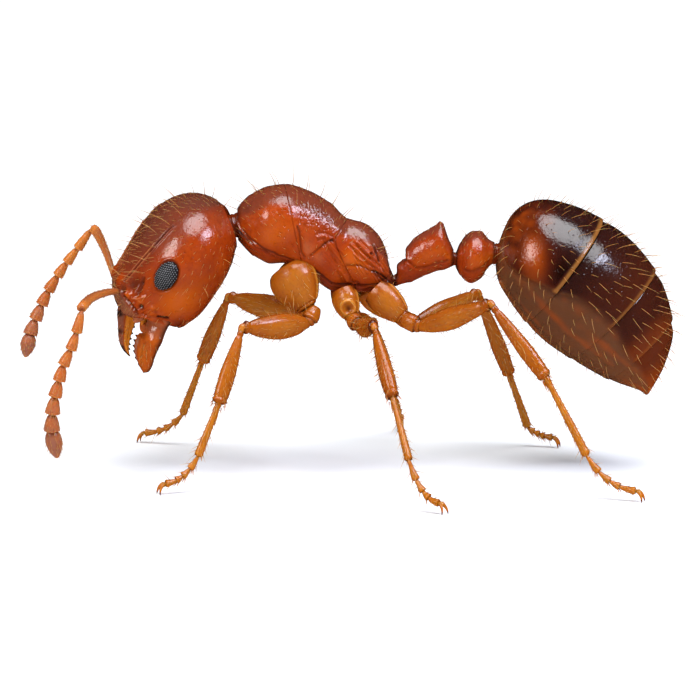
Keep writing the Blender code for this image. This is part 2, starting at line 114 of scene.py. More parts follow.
def lattice(points, frequency, seed):
    # smooth noise from -1 to 1 that changes over 1 / frequency
    rng = np.random.default_rng(seed)
    table = rng.uniform(-1, 1, 4096)
    p = np.asarray(points) * frequency
    cell = np.floor(p).astype(int)
    f = p - cell
    f = f * f * (3 - 2 * f)
    total = 0
    for corner in range(8):
        offset = np.array([(corner >> b) & 1 for b in range(3)])
        c = cell + offset
        key = (c[..., 0] * 73856093 ^ c[..., 1] * 19349663 ^ c[..., 2] * 83492791) & 4095
        weight = np.prod(np.where(offset, f, 1 - f), axis=-1)
        total = total + table[key] * weight
    return total


def addToScene(thing):
    bpy.context.scene.collection.objects.link(thing)
    return thing


def meshPiece(name, points, faces, uv=None, marks=None, smooth=True):
    # points in millimetres; uv holds one pair for each face corner; marks are values at the points
    mesh = bpy.data.meshes.new(name)
    mesh.from_pydata(((points - frameOrigin) * mm).tolist(), [], faces)
    if uv is not None:
        layer = mesh.uv_layers.new(name="unwrap")
        layer.data.foreach_set("uv", np.asarray(uv, np.float32).ravel())
    for mark, values in (marks or {}).items():
        values = np.asarray(values, np.float32)
        kind = "FLOAT" if values.ndim == 1 else "FLOAT_VECTOR"
        attribute = mesh.attributes.new(mark, kind, "POINT")
        attribute.data.foreach_set("value" if values.ndim == 1 else "vector", values.ravel())
    if smooth:
        mesh.shade_smooth()
    return addToScene(bpy.data.objects.new(name, mesh))


class Shell:
    # closed grid shells collected into one mesh; each is unwrapped on a unit square above the last
    def __init__(self):
        self.points, self.faces, self.uv, self.marks = [], [], [], {}
        self.start, self.square = 0, 0

    def add(self, grid, poles, marks=None):
        rings, count = grid.shape[:2]
        ring = self.start + np.arange(rings * count).reshape(rings, count)
        following = np.roll(ring, -1, axis=1)
        low, high = self.start + rings * count, self.start + rings * count + 1
        quads = np.stack([ring[:-1], following[:-1], following[1:], ring[1:]], -1).reshape(-1, 4)
        step = (np.linalg.norm(np.diff(grid, axis=0), axis=-1)).mean(axis=1)
        v = np.concatenate([[0], np.cumsum(step)])
        margin = 0.01
        v = 2 * margin + (1 - 4 * margin) * v / v[-1] + self.square
        u = np.linspace(margin, 1 - margin, count + 1)
        corners = np.stack([
            np.stack(np.broadcast_arrays(u[None, :-1], v[:-1, None]), -1),
            np.stack(np.broadcast_arrays(u[None, 1:], v[:-1, None]), -1),
            np.stack(np.broadcast_arrays(u[None, 1:], v[1:, None]), -1),
            np.stack(np.broadcast_arrays(u[None, :-1], v[1:, None]), -1)], 2).reshape(-1, 2)
        self.faces += quads.tolist()
        self.uv.append(corners)
        for edge, pole, level, turn in ((0, low, v[0] - margin, True),
                                        (rings - 1, high, v[-1] + margin, False)):
            a, b = ring[edge], following[edge]
            fan = np.stack([b, a, np.full(count, pole)] if turn else [a, b, np.full(count, pole)], -1)
            self.faces += fan.tolist()
            first, second = (u[1:], u[:-1]) if turn else (u[:-1], u[1:])
            self.uv.append(np.stack([
                np.stack([first, np.full(count, v[edge])], -1),
                np.stack([second, np.full(count, v[edge])], -1),
                np.stack([(first + second) / 2, np.full(count, level)], -1)], 1).reshape(-1, 2))
        self.points += [grid.reshape(-1, 3), np.asarray(poles)]
        for mark, values in (marks or {}).items():
            ends = np.stack([values[0].mean(axis=0), values[-1].mean(axis=0)])
            flat = values.reshape((rings * count,) + values.shape[2:])
            self.marks.setdefault(mark, []).append(np.concatenate([flat, ends]))
        self.start += rings * count + 2
        self.square += 1

    def build(self, name):
        marks = {mark: np.concatenate(values) for mark, values in self.marks.items()}
        points, faces = np.concatenate(self.points), self.faces
        if shellVolume(points, faces) < 0:   # the faces wind inwards, so they are turned over
            faces = [face[::-1] for face in faces]
            sizes = [len(face) for face in faces]
            flat = np.concatenate(self.uv)
            starts = np.concatenate([[0], np.cumsum(sizes)[:-1]])
            order = np.concatenate([np.arange(s + n - 1, s - 1, -1) for s, n in zip(starts, sizes)])
            self.uv = [flat[order]]
        return meshPiece(name, points, faces, np.concatenate(self.uv), marks)


def oneShell(name, grid, poles, marks):
    shell = Shell()
    shell.add(grid, poles, marks)
    return shell.build(name)


def shellVolume(points, faces):
    total = 0.0
    for size in (3, 4):
        chosen = np.array([f for f in faces if len(f) == size])
        if len(chosen) == 0:
            continue
        a = points[chosen[:, 0]]
        for k in range(1, size - 1):
            total += np.einsum("ij,ij->i", a, np.cross(points[chosen[:, k]], points[chosen[:, k + 1]])).sum()
    return total / 6


def gridNormals(grid):
    around = np.roll(grid, -1, axis=1) - np.roll(grid, 1, axis=1)
    along = np.gradient(grid, axis=0)
    normal = unit(np.cross(around, along))
    middle = grid.mean(axis=1, keepdims=True)
    flip = np.sign(((grid - middle) * normal).sum(axis=-1).mean())
    return normal * flip


head = {
    "back": (0.0, -1.269, 2.63), "lip": (0.0, -2.267, 1.527), "roll": math.radians(14),
    "middle": {0.0: 0.0, 0.2: -0.005, 0.45: -0.035, 0.7: -0.08, 0.9: -0.065, 1.0: -0.065},
    "depth": {0.0: 0.53, 0.2: 0.5, 0.5: 0.475, 0.75: 0.5, 0.9: 0.54, 1.0: 0.52},
    "width": {0.0: 0.76, 0.2: 0.72, 0.45: 0.675, 0.68: 0.655, 0.8: 0.69, 0.9: 0.79, 1.0: 0.93},
    "mouthPlace": 0.915, "mouthDrop": -0.22, "mouthLean": math.radians(-27),
}
headBack, headLip = np.array(head["back"]), np.array(head["lip"])
headAlong = unit(headLip - headBack)
headSide = np.array(Matrix.Rotation(-head["roll"], 3, Vector(headAlong)) @ Vector((1, 0, 0)))
headFace = np.cross(headSide, headAlong)
headFace = headFace if headFace[2] > 0 else -headFace
headLength = np.linalg.norm(headLip - headBack)
mouthPoint = headBack + (headLip - headBack) * head["mouthPlace"] + headFace * head["mouthDrop"]
mouthOut = unit(headAlong * math.cos(head["mouthLean"]) + headFace * math.sin(head["mouthLean"]))


def headSurface(t, a):
    across, above = superellipse(a, 2.2)
    share = rounding(t, 0.5, 0.5)
    centre = headBack + (headLip - headBack) * t[..., None] + headFace * keyed(head["middle"], t)[..., None]
    return (centre + headSide * (across * keyed(head["width"], t) * share)[..., None]
            + headFace * (above * keyed(head["depth"], t) * share)[..., None])


def headPlace(*places):
    # points on the head from (place along it, degrees from its left side up towards the face)
    t, a = np.array([p[0] for p in places], float), np.radians([p[1] for p in places])
    return headSurface(t, a)


trunk = {
    "front": (0.0, -1.125, 2.0), "length": 1.565,
    "middle": {0.0: 0.44, 0.035: 0.418, 0.08: 0.395, 0.208: 0.422, 0.304: 0.438, 0.463: 0.344, 0.59: 0.218,
               0.7: 0.127, 0.815: 0.101, 0.9: 0.044, 0.95: -0.036, 0.975: -0.114, 1.0: -0.147},
    "depth": {0.0: 0.15, 0.035: 0.246, 0.08: 0.334, 0.208: 0.397, 0.304: 0.398, 0.463: 0.425, 0.59: 0.44,
              0.7: 0.37, 0.815: 0.344, 0.9: 0.287, 0.95: 0.198, 0.975: 0.114, 1.0: 0.05},
    "width": {0.0: 0.13, 0.035: 0.2, 0.1: 0.31, 0.21: 0.41, 0.32: 0.435, 0.42: 0.4, 0.52: 0.355,
              0.62: 0.33, 0.7: 0.3, 0.81: 0.31, 0.9: 0.295, 0.97: 0.22, 1.0: 0.13},
}


def knotSurface(plan, power):
    # a body segment along Y, from its middle line, half depth and half width
    start = np.array(plan["front"])

    def surface(t, a):
        across, above = superellipse(a, power)
        point = np.zeros(t.shape + (3,))
        point[..., 0] = start[0] + across * keyed(plan["width"], t)
        point[..., 1] = start[1] + plan["length"] * t
        point[..., 2] = start[2] + keyed(plan["middle"], t) + above * keyed(plan["depth"], t)
        return point
    return surface


petiole = {
    "front": (0.0, 0.449, 1.85), "length": 0.585,
    "middle": {0.0: 0.01, 0.12: 0.1, 0.2: 0.16, 0.3: 0.225, 0.42: 0.27, 0.55: 0.305, 0.79: 0.355,
               0.91: 0.29, 1.0: 0.25},
    "depth": {0.0: 0.045, 0.12: 0.115, 0.2: 0.165, 0.3: 0.215, 0.55: 0.222, 0.79: 0.232, 0.91: 0.145,
              1.0: 0.08},
    "width": {0.0: 0.09, 0.25: 0.125, 0.5: 0.175, 0.75: 0.2, 0.9: 0.15, 1.0: 0.075},
}
postpetiole = {
    "front": (0.0, 1.052, 2.085), "length": 0.385,
    "middle": {0.0: -0.005, 0.45: 0.025, 0.8: 0.06, 1.0: 0.07},
    "depth": {0.0: 0.07, 0.15: 0.18, 0.42: 0.256, 0.65: 0.235, 0.85: 0.14, 1.0: 0.1},
    "width": {0.0: 0.075, 0.15: 0.2, 0.42: 0.285, 0.65: 0.26, 0.85: 0.16, 1.0: 0.11},
}
gaster = {
    "front": (0.0, 1.522, 2.459), "tip": (0.0, 2.985, 0.72),
    "middle": {0.0: 0.2, 0.15: 0.135, 0.3: 0.165, 0.5: 0.21, 0.7: 0.235, 0.85: 0.21, 0.95: 0.12, 1.0: 0.0},
    "depth": {0.0: 0.68, 0.15: 0.71, 0.3: 0.68, 0.5: 0.66, 0.7: 0.61, 0.85: 0.555, 0.95: 0.4, 1.0: 0.22},
    "width": {0.0: 0.72, 0.15: 0.73, 0.35: 0.7, 0.5: 0.68, 0.7: 0.63, 0.85: 0.55, 0.95: 0.38, 1.0: 0.22},
    "rings": ((0.355, 13.0), (0.635, 6.0), (0.825, 3.0)),
}
gasterFront, gasterTip = np.array(gaster["front"]), np.array(gaster["tip"])
gasterAxis = unit(gasterTip - gasterFront)
gasterUp = np.cross(np.array((1.0, 0, 0)), gasterAxis)
gasterUp = gasterUp if gasterUp[2] > 0 else -gasterUp


def gasterSurface(t, a):
    across, above = superellipse(a, 2.05)
    share = rounding(t, 0.5, 0.5)
    centre = (gasterFront + (gasterTip - gasterFront) * t[..., None]
              + gasterUp * keyed(gaster["middle"], t)[..., None])
    point = centre + gasterUp * (above * keyed(gaster["depth"], t) * share)[..., None]
    point[..., 0] += across * keyed(gaster["width"], t) * share
    return point


def sideAngle(a):
    # degrees above the side's middle, the same on both sides
    degrees = np.degrees(a) % 360
    return np.degrees(np.arcsin(np.clip(np.sin(np.radians(degrees)), -1, 1)))


def crossing(surface, angles, point, normal):
    # where along the surface, at each angle, it passes through a plane
    t = np.linspace(0.0005, 0.9995, 1200)
    tt, aa = np.meshgrid(t, angles, indexing="ij")
    height = (surface(tt, aa) - np.asarray(point)) @ np.asarray(normal)
    first = np.argmax(height > 0, axis=0)
    columns = np.arange(len(angles))
    before, after = height[np.maximum(first - 1, 0), columns], height[first, columns]
    return t[np.maximum(first - 1, 0)] + (t[1] - t[0]) * before / (before - after)


def plateGrid(surface, rings, count, low, high, domed=(True, False)):
    # a part of a surface between two edges, each given at every angle
    a = 2 * np.pi * np.arange(count) / count
    low = low(a) if callable(low) else np.full(count, low)
    high = high(a) if callable(high) else np.full(count, high)
    k = np.linspace(0, 1, rings)
    if domed == (True, True):
        s = 0.5 - 0.5 * np.cos(np.pi * k)
    elif domed == (True, False):
        s = 1 - np.cos(np.pi / 2 * k)
    elif domed == (False, True):
        s = np.sin(np.pi / 2 * k)
    else:
        s = k
    tt = low[None] + (high - low)[None] * s[:, None]
    aa = np.broadcast_to(a[None], tt.shape)
    return surface(tt, aa), tt, aa


def rimDistance(grid, end):
    # how far each point is from the grid's first (0) or last (-1) row, along the surface
    steps = np.linalg.norm(np.diff(grid, axis=0), axis=-1)
    reach = np.concatenate([np.zeros((1, grid.shape[1])), np.cumsum(steps, axis=0)])
    return reach if end == 0 else reach[-1:] - reach


def tuck(grid, end, inset, depth, dark, marks):
    # carries an open edge round and inwards, so that the shell closes behind its rim
    rim = grid[end]
    centre = rim.mean(axis=0)
    inside = grid[1 if end == 0 else -2].mean(axis=0)
    inward = unit(inside - centre)
    reach = np.linalg.norm(rim - centre, axis=-1, keepdims=True)
    rows = []
    for share, sink in ((0.25, 0.02), (0.6, 0.12), (1.0, 0.4), (1.6, 1.0), (4.0, 1.1)):
        move = np.minimum(inset * share, reach * 0.8)
        rows.append(rim + (centre - rim) / reach * move + inward * depth * sink)
    rows = np.stack(rows)
    pole = rows[-1].mean(axis=0)
    grown = np.concatenate([rows[::-1], grid] if end == 0 else [grid, rows])
    for mark, values in marks.items():
        edge = np.repeat(values[end][None], len(rows), axis=0)
        # painted shade: the rows tucked in behind the rim are drawn darker by dark, where shade falls inside
        # the seam
        if mark == "shade":
            edge = edge + dark * np.array((0.3, 0.6, 1, 1, 1))[:, None]
        elif mark in ("longHair", "shortHair"):
            edge = edge * 0
        marks[mark] = np.concatenate([edge[::-1], values] if end == 0 else [values, edge])
    return grown, pole


def bump(distance, width):
    return np.exp(-(distance / width) ** 2)


def addFeatures(grid, surface, lines, spots):
    # lines and spots laid on both sides of a body: height, shade and tone at every point of the grid
    rise, shade, tone = np.zeros((3,) + grid.shape[:2])
    for mirrored in (False, True):
        def place(pairs):
            t, side = np.array(pairs, float).reshape(-1, 2).T
            return surface(t, np.radians(180 - side if mirrored else side))
        for pairs, width, height, lip, dark in lines:
            d, along = lineDistance(grid, place(pairs))
            ends = ramp(0.0, 0.08, along) * ramp(1.0, 0.92, along)
            rise += (height * bump(d, width) + lip * bump(d - 2.2 * width, width)) * ends
            shade += dark * bump(d, width * 1.1) * ends
        for pair, radius, height, light, warm in spots:
            near = bump(distance(grid, place(pair)[0]), radius)
            rise, shade, tone = rise + height * near, shade + light * near, tone + warm * near
    return rise, shade, tone


def towards(direction, normals):
    # a direction laid along the surface
    direction = np.broadcast_to(np.asarray(direction, float), normals.shape)
    return unit(direction - normals * (direction * normals).sum(axis=-1, keepdims=True))


def smoothPath(points, count):
    # a smooth curve through the points, evenly spaced
    p = np.asarray(points, float)
    p = np.concatenate([[2 * p[0] - p[1]], p, [2 * p[-1] - p[-2]]])
    rows = []
    for i in range(1, len(p) - 2):
        u = np.linspace(0, 1, 24, endpoint=False)[:, None]
        rows.append(0.5 * (2 * p[i] + (p[i + 1] - p[i - 1]) * u
                           + (2 * p[i - 1] - 5 * p[i] + 4 * p[i + 1] - p[i + 2]) * u**2
                           + (3 * p[i] - p[i - 1] - 3 * p[i + 1] + p[i + 2]) * u**3))
    fine = np.concatenate(rows + [p[-2:-1]])
    reach = np.concatenate([[0], np.cumsum(np.linalg.norm(np.diff(fine, axis=0), axis=-1))])
    wanted = np.linspace(0, reach[-1], count)
    return np.stack([np.interp(wanted, reach, fine[:, k]) for k in range(3)], -1)


def sweep(path, radii, count, flatness=1.0, side=None):
    # rings round a path; flatness narrows them across the given side direction
    tangent = unit(np.gradient(path, axis=0))
    across = np.cross(tangent[0], (0, 0, 1)) if side is None else np.asarray(side, float)
    if np.linalg.norm(across) < 0.2:
        across = np.cross(tangent[0], (0, 1, 0))
    frames = []
    for along in tangent:
        across = unit(across - along * (across @ along))
        frames.append((across, np.cross(across, along)))
    across = np.array([f[0] for f in frames])[:, None]
    above = np.array([f[1] for f in frames])[:, None]
    a = 2 * np.pi * np.arange(count) / count
    radii = np.asarray(radii, float)
    radii = radii[:, None, None] if radii.ndim == 1 else radii[..., None]
    c, s = np.cos(a)[None, :, None], np.sin(a)[None, :, None]
    grid = path[:, None] + radii * (across * c * flatness + above * s)
    normals = unit(across * c / flatness + above * s)
    return grid, normals, np.broadcast_to(a, grid.shape[:2])


def evenMarks(grid, **marks):
    # marks that have one value all over a shell
    return {mark: np.full(grid.shape[:2], value) for mark, value in marks.items()}


def spike(shell, start, direction, length, thick, bend=(0, 0, 0), shade=0.0, sides=6):
    # a tapering hairless spine, closed at both ends
    k = np.array((0.0, 0.25, 0.5, 0.75, 0.93))
    start, bend = np.asarray(start, float), np.asarray(bend, float)
    path = start + unit(direction) * length * k[:, None] + bend * length * k[:, None] ** 2
    grid, _, _ = sweep(path, thick * (1 - 0.75 * k ** 1.3), sides)
    tip = start + unit(direction) * length + bend * length
    values = evenMarks(grid, shade=shade, shortHair=0.0, longHair=0.0, hairLength=1.0)
    values["lie"] = np.broadcast_to(unit(direction), grid.shape)
    shell.add(grid, (start - unit(direction) * thick * 0.4, tip), values)


def bareMarks(shade, tone, lie, normals):
    # the marks that every skin has, with its hairs at their full length
    return {"shade": np.clip(shade, -1, 1), "tone": np.clip(tone, -1, 1), "lie": towards(lie, normals),
            "hairLength": np.ones(normals.shape[:2])}


def addNode(tree, kind, inputs=None, **settings):
    node = tree.nodes.new(kind)
    for key, value in settings.items():
        setattr(node, key, value)
    for key, value in (inputs or {}).items():
        if isinstance(value, bpy.types.NodeSocket):
            tree.links.new(value, node.inputs[key])
        else:
            node.inputs[key].default_value = value
    return node


def mark(tree, name):
    return addNode(tree, "ShaderNodeAttribute", attribute_name=name).outputs["Fac"]


def objectPlace(tree):
    return addNode(tree, "ShaderNodeTexCoord").outputs["Object"]


def bumpy(tree, height, depth, below=None):
    # relief of a depth in millimetres, laid over any coarser relief
    inputs = {"Height": height, "Distance": depth * mm, "Strength": 1.0}
    if below is not None:
        inputs["Normal"] = below
    return addNode(tree, "ShaderNodeBump", inputs).outputs["Normal"]


def cells(tree, place, size):
    # small rounded cells, a size in millimetres across
    return addNode(tree, "ShaderNodeTexVoronoi", {"Vector": place, "Scale": 1000 / size}).outputs["Distance"]


def startFinish(name):
    material = bpy.data.materials.new(name)
    material.use_nodes = True
    tree = material.node_tree
    return material, tree, tree.nodes["Principled BSDF"]


def blendColour(tree, share, first, second, how="MIX"):
    node = addNode(tree, "ShaderNodeMix", data_type="RGBA", blend_type=how)
    for index, value in ((0, share), (6, first), (7, second)):
        if isinstance(value, bpy.types.NodeSocket):
            tree.links.new(value, node.inputs[index])
        else:
            node.inputs[index].default_value = value
    return node.outputs[2]


def levels(tree, value, low, high, toLow=0.0, toHigh=1.0):
    node = addNode(tree, "ShaderNodeMapRange", {"Value": value, "From Min": low, "From Max": high,
                                                "To Min": toLow, "To Max": toHigh},
                   interpolation_type="SMOOTHSTEP")
    return node.outputs["Result"]


def noise(tree, place, size, detail=3.0, roughness=0.5):
    # size is how far across the blotches are, in millimetres
    node = addNode(tree, "ShaderNodeTexNoise", {"Vector": place, "Scale": 1000 / size, "Detail": detail,
                                                "Roughness": roughness})
    return node.outputs["Fac"]


def shellFinish(name, look):
    # hard glossy shell: clouded colour, then the shade and tone marks, which carry painted shade in hollows
    # and on faces turned from the light, painted highlights on ridges and the shell's own paler rims and
    # tones; fine leathery relief and pits
    material, tree, shader = startFinish(name)
    place = objectPlace(tree)
    shade = mark(tree, "shade")
    clouds = levels(tree, noise(tree, place, look["cloudSize"], 4.0), 0.3, 0.7)
    colour = blendColour(tree, clouds, look["base"], look["cloud"])
    flecks = levels(tree, noise(tree, place, look["fleckSize"], 2.0, 0.7), 0.45, 0.75, 0.0,
                    look["fleckShare"])
    colour = blendColour(tree, flecks, colour, look["fleck"])
    tone = mark(tree, "tone")
    for value, end, tint in ((tone, 1, "ember"), (tone, -1, "dusk"), (shade, 1, "pale"), (shade, -1, "dark")):
        colour = blendColour(tree, levels(tree, value, 0.0, end), colour, look[tint])
    for tint in ("belly", "glow"):
        if tint in look:
            colour = blendColour(tree, mark(tree, tint), colour, look[tint])
    tree.links.new(colour, shader.inputs["Base Color"])
    gloss = noise(tree, place, look["cloudSize"] * 0.4, 3.0)
    tree.links.new(levels(tree, gloss, 0.3, 0.7, *look["roughness"]), shader.inputs["Roughness"])
    dents = levels(tree, cells(tree, place, look["pitSpacing"]), 0.0, look["pitShare"])
    relief = bumpy(tree, cells(tree, place, look["leatherSize"]), look["leatherDepth"])
    relief = bumpy(tree, noise(tree, place, look["grainSize"], 3.0), look["grainDepth"], relief)
    relief = bumpy(tree, dents, look["pitDepth"], relief)
    tree.links.new(relief, shader.inputs["Normal"])
    for socket, value in look["shader"].items():
        shader.inputs[socket].default_value = value
    return material


def tinted(look, **changes):
    copy = dict(look)
    copy.update(changes)
    return copy


shellLook = {
    "base": (0.31, 0.031, 0.0025, 1), "cloud": (0.41, 0.054, 0.0035, 1), "cloudSize": 0.3,
    "fleck": (0.2, 0.02, 0.003, 1), "fleckSize": 0.045, "fleckShare": 0.5,
    "pale": (0.6, 0.21, 0.075, 1), "dark": (0.05, 0.007, 0.003, 1),
    # the tone mark blends towards ember as painted light on the sides and towards dusk as painted shade on
    # tops and undersides, besides the parts' own colours
    "ember": (0.5, 0.085, 0.003, 1), "dusk": (0.145, 0.036, 0.02, 1),
    "roughness": (0.12, 0.22), "pitSpacing": 0.055, "pitShare": 0.2, "pitDepth": 0.008,
    "leatherSize": 0.011, "leatherDepth": 0.0004, "grainSize": 0.035, "grainDepth": 0.0038,
    "shader": {"IOR": 1.5, "Coat Weight": 0.15, "Coat Roughness": 0.06, "Subsurface Weight": 0.1,
               "Subsurface Scale": 0.05 * mm, "Subsurface Radius": (1.0, 0.25, 0.06),
               "Specular IOR Level": 0.6},
}
headLook = tinted(shellLook, base=(0.27, 0.027, 0.002, 1), cloud=(0.36, 0.044, 0.0026, 1),
                  pitSpacing=0.048, pitDepth=0.008)
waistLook = tinted(shellLook, base=(0.29, 0.028, 0.0026, 1), cloud=(0.37, 0.044, 0.0034, 1))
jawLook = tinted(shellLook, base=(0.38, 0.055, 0.004, 1), cloud=(0.48, 0.09, 0.006, 1),
                 ember=(0.66, 0.19, 0.01, 1), dusk=(0.26, 0.085, 0.048, 1), pale=(0.54, 0.24, 0.13, 1),
                 dark=(0.01, 0.004, 0.003, 1), fleckShare=0.35, pitSpacing=0.07)
legLook = tinted(shellLook, base=(0.34, 0.072, 0.0028, 1), cloud=(0.43, 0.108, 0.0045, 1),
                 fleck=(0.23, 0.033, 0.002, 1), fleckSize=0.03, pale=(0.64, 0.27, 0.035, 1),
                 dark=(0.08, 0.011, 0.002, 1), roughness=(0.15, 0.26), pitSpacing=0.05,
                 pitShare=0.12, pitDepth=0.002, leatherSize=0.009,
                 shader=dict(shellLook["shader"], **{
                     "Specular IOR Level": 0.45, "Subsurface Weight": 0.35, "Subsurface Scale": 0.07 * mm,
                     "Subsurface Radius": (1.0, 0.35, 0.06)}))
tarsusLook = tinted(legLook, base=(0.43, 0.125, 0.005, 1), cloud=(0.5, 0.16, 0.008, 1))
antennaLook = tinted(legLook, base=(0.46, 0.105, 0.012, 1), cloud=(0.53, 0.14, 0.022, 1),
                     dark=(0.15, 0.024, 0.006, 1), roughness=(0.3, 0.44), pitSpacing=0.022,
                     pitShare=0.25, pitDepth=0.003, ember=(0.62, 0.185, 0.012, 1), dusk=(0.3, 0.105, 0.06, 1),
                     shader=dict(legLook["shader"], **{"Sheen Weight": 0.12, "Sheen Roughness": 0.4}))
gasterLook = tinted(shellLook, base=(0.02, 0.0062, 0.0048, 1), cloud=(0.034, 0.0076, 0.0052, 1),
                    cloudSize=0.5, fleck=(0.014, 0.005, 0.0045, 1), fleckSize=0.06,
                    pale=(0.42, 0.165, 0.035, 1), dark=(0.006, 0.002, 0.001, 1),
                    belly=(0.13, 0.046, 0.018, 1), glow=(0.42, 0.064, 0.003, 1),
                    ember=(0.06, 0.006, 0.0018, 1), roughness=(0.11, 0.19), pitSpacing=0.06,
                    pitDepth=0.0034, grainDepth=0.0032, leatherSize=0.014, leatherDepth=0.00045)
eyeLook = tinted(shellLook, base=(0.02, 0.019, 0.02, 1), cloud=(0.032, 0.031, 0.032, 1), cloudSize=0.08,
                 fleck=(0.012, 0.012, 0.013, 1), pale=(0.34, 0.34, 0.35, 1), dark=(0.003, 0.003, 0.003, 1),
                 roughness=(0.16, 0.26), pitDepth=0.0, grainDepth=0.0002,
                 shader={"IOR": 1.45, "Specular IOR Level": 0.4})
hairLook = {"root": (0.4, 0.16, 0.03, 1), "tip": (0.74, 0.43, 0.13, 1), "vary": (0.5, 0.23, 0.05, 1)}
# the hair's tip as a share of its root, its patch as a share of the unwrap, and how closely hairs may stand
hairShape = {"tipRadius": 0.08, "patch": 0.003, "crowding": 1.6}


def hairFinish(name, look):
    material, tree, shader = startFinish(name)
    place = objectPlace(tree)
    colour = blendColour(tree, levels(tree, mark(tree, "along"), 0.0, 0.8), look["root"], look["tip"])
    vary = levels(tree, noise(tree, place, 0.15, 2.0), 0.35, 0.7, 0.0, 0.7)
    colour = blendColour(tree, vary, colour, look["vary"])
    tree.links.new(colour, shader.inputs["Base Color"])
    rough = levels(tree, noise(tree, place, 0.02, 2.0), 0.3, 0.7, 0.35, 0.5)
    tree.links.new(rough, shader.inputs["Roughness"])
    tree.links.new(bumpy(tree, noise(tree, place, 0.006, 2.0), 0.0003), shader.inputs["Normal"])
    shader.inputs["Subsurface Weight"].default_value = 0.3
    shader.inputs["Subsurface Scale"].default_value = 0.01 * mm
    return material


finishes = {
    "head": shellFinish("headShell", headLook), "trunk": shellFinish("trunkShell", shellLook),
    "waist": shellFinish("waistShell", waistLook), "mandible": shellFinish("jawHorn", jawLook),
    "gaster": shellFinish("gasterShell", gasterLook), "leg": shellFinish("legAmber", legLook),
    "tarsus": shellFinish("tarsusAmber", tarsusLook),
    "antenna": shellFinish("antennaShell", antennaLook), "eye": shellFinish("eyeLens", eyeLook),
}
goldenHair = hairFinish("goldenHair", hairLook)
print("finishes made:", len(finishes) + 1)


def settle(piece, slot, *nodes):
    # gives a finished piece its slot's material, if it has none yet, and its place in the frame
    if not piece.data.materials:
        piece.data.materials.append(finishes[slot])
    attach(piece, "root")
    if nodes:
        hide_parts(*nodes)
    return piece


def addInputs(tree, wanted):
    tree.interface.new_socket("Geometry", in_out="INPUT", socket_type="NodeSocketGeometry")
    for name, kind in wanted.items():
        tree.interface.new_socket(name, in_out="INPUT", socket_type="NodeSocket" + kind)
    tree.interface.new_socket("Geometry", in_out="OUTPUT", socket_type="NodeSocketGeometry")
    return addNode(tree, "NodeGroupInput").outputs


def math2(tree, how, a, b):
    return addNode(tree, "ShaderNodeMath", {0: a, 1: b}, operation=how).outputs[0]


def vector2(tree, how, a, b):
    key = "Scale" if how == "SCALE" else 1
    return addNode(tree, "ShaderNodeVectorMath", {0: a, key: b}, operation=how).outputs[0]


def read(tree, name, kind="FLOAT"):
    return addNode(tree, "GeometryNodeInputNamedAttribute", {"Name": name},
                   data_type=kind).outputs["Attribute"]


def store(tree, geometry, name, value, kind="FLOAT", domain="POINT"):
    return addNode(tree, "GeometryNodeStoreNamedAttribute",
                   {"Geometry": geometry, "Name": name, "Value": value},
                   data_type=kind, domain=domain).outputs["Geometry"]


def closedCone(tree, sides, steps, top):
    # a closed cone of unit height, its root one unit in radius
    sizes = {"Vertices": sides, "Side Segments": steps, "Radius Top": top, "Radius Bottom": 1.0, "Depth": 1.0}
    return addNode(tree, "GeometryNodeMeshCone", sizes, fill_type="TRIANGLE_FAN")


def heightOf(tree):
    place = addNode(tree, "GeometryNodeInputPosition").outputs[0]
    return addNode(tree, "ShaderNodeSeparateXYZ", {0: place}).outputs["Z"]


def turnTo(tree, way):
    return addNode(tree, "FunctionNodeAlignRotationToVector", {"Vector": way}, axis="Z").outputs[0]


def shift(tree, geometry, offset):
    return addNode(tree, "GeometryNodeSetPosition", {"Geometry": geometry, "Offset": offset}).outputs[0]


def scatter(tree, points, thing, rotation, scale):
    # a copy of the thing on every point, made real
    placed = addNode(tree, "GeometryNodeInstanceOnPoints", {
        "Points": points, "Instance": thing, "Rotation": rotation, "Scale": scale})
    return addNode(tree, "GeometryNodeRealizeInstances", {"Geometry": placed.outputs[0]}).outputs[0]


def endTree(tree, geometry, finish):
    smooth = addNode(tree, "GeometryNodeSetShadeSmooth", {"Geometry": geometry, "Shade Smooth": True})
    finished = addNode(tree, "GeometryNodeSetMaterial", {"Geometry": smooth.outputs[0], "Material": finish})
    addNode(tree, "NodeGroupOutput", {0: finished.outputs[0]})
    return tree


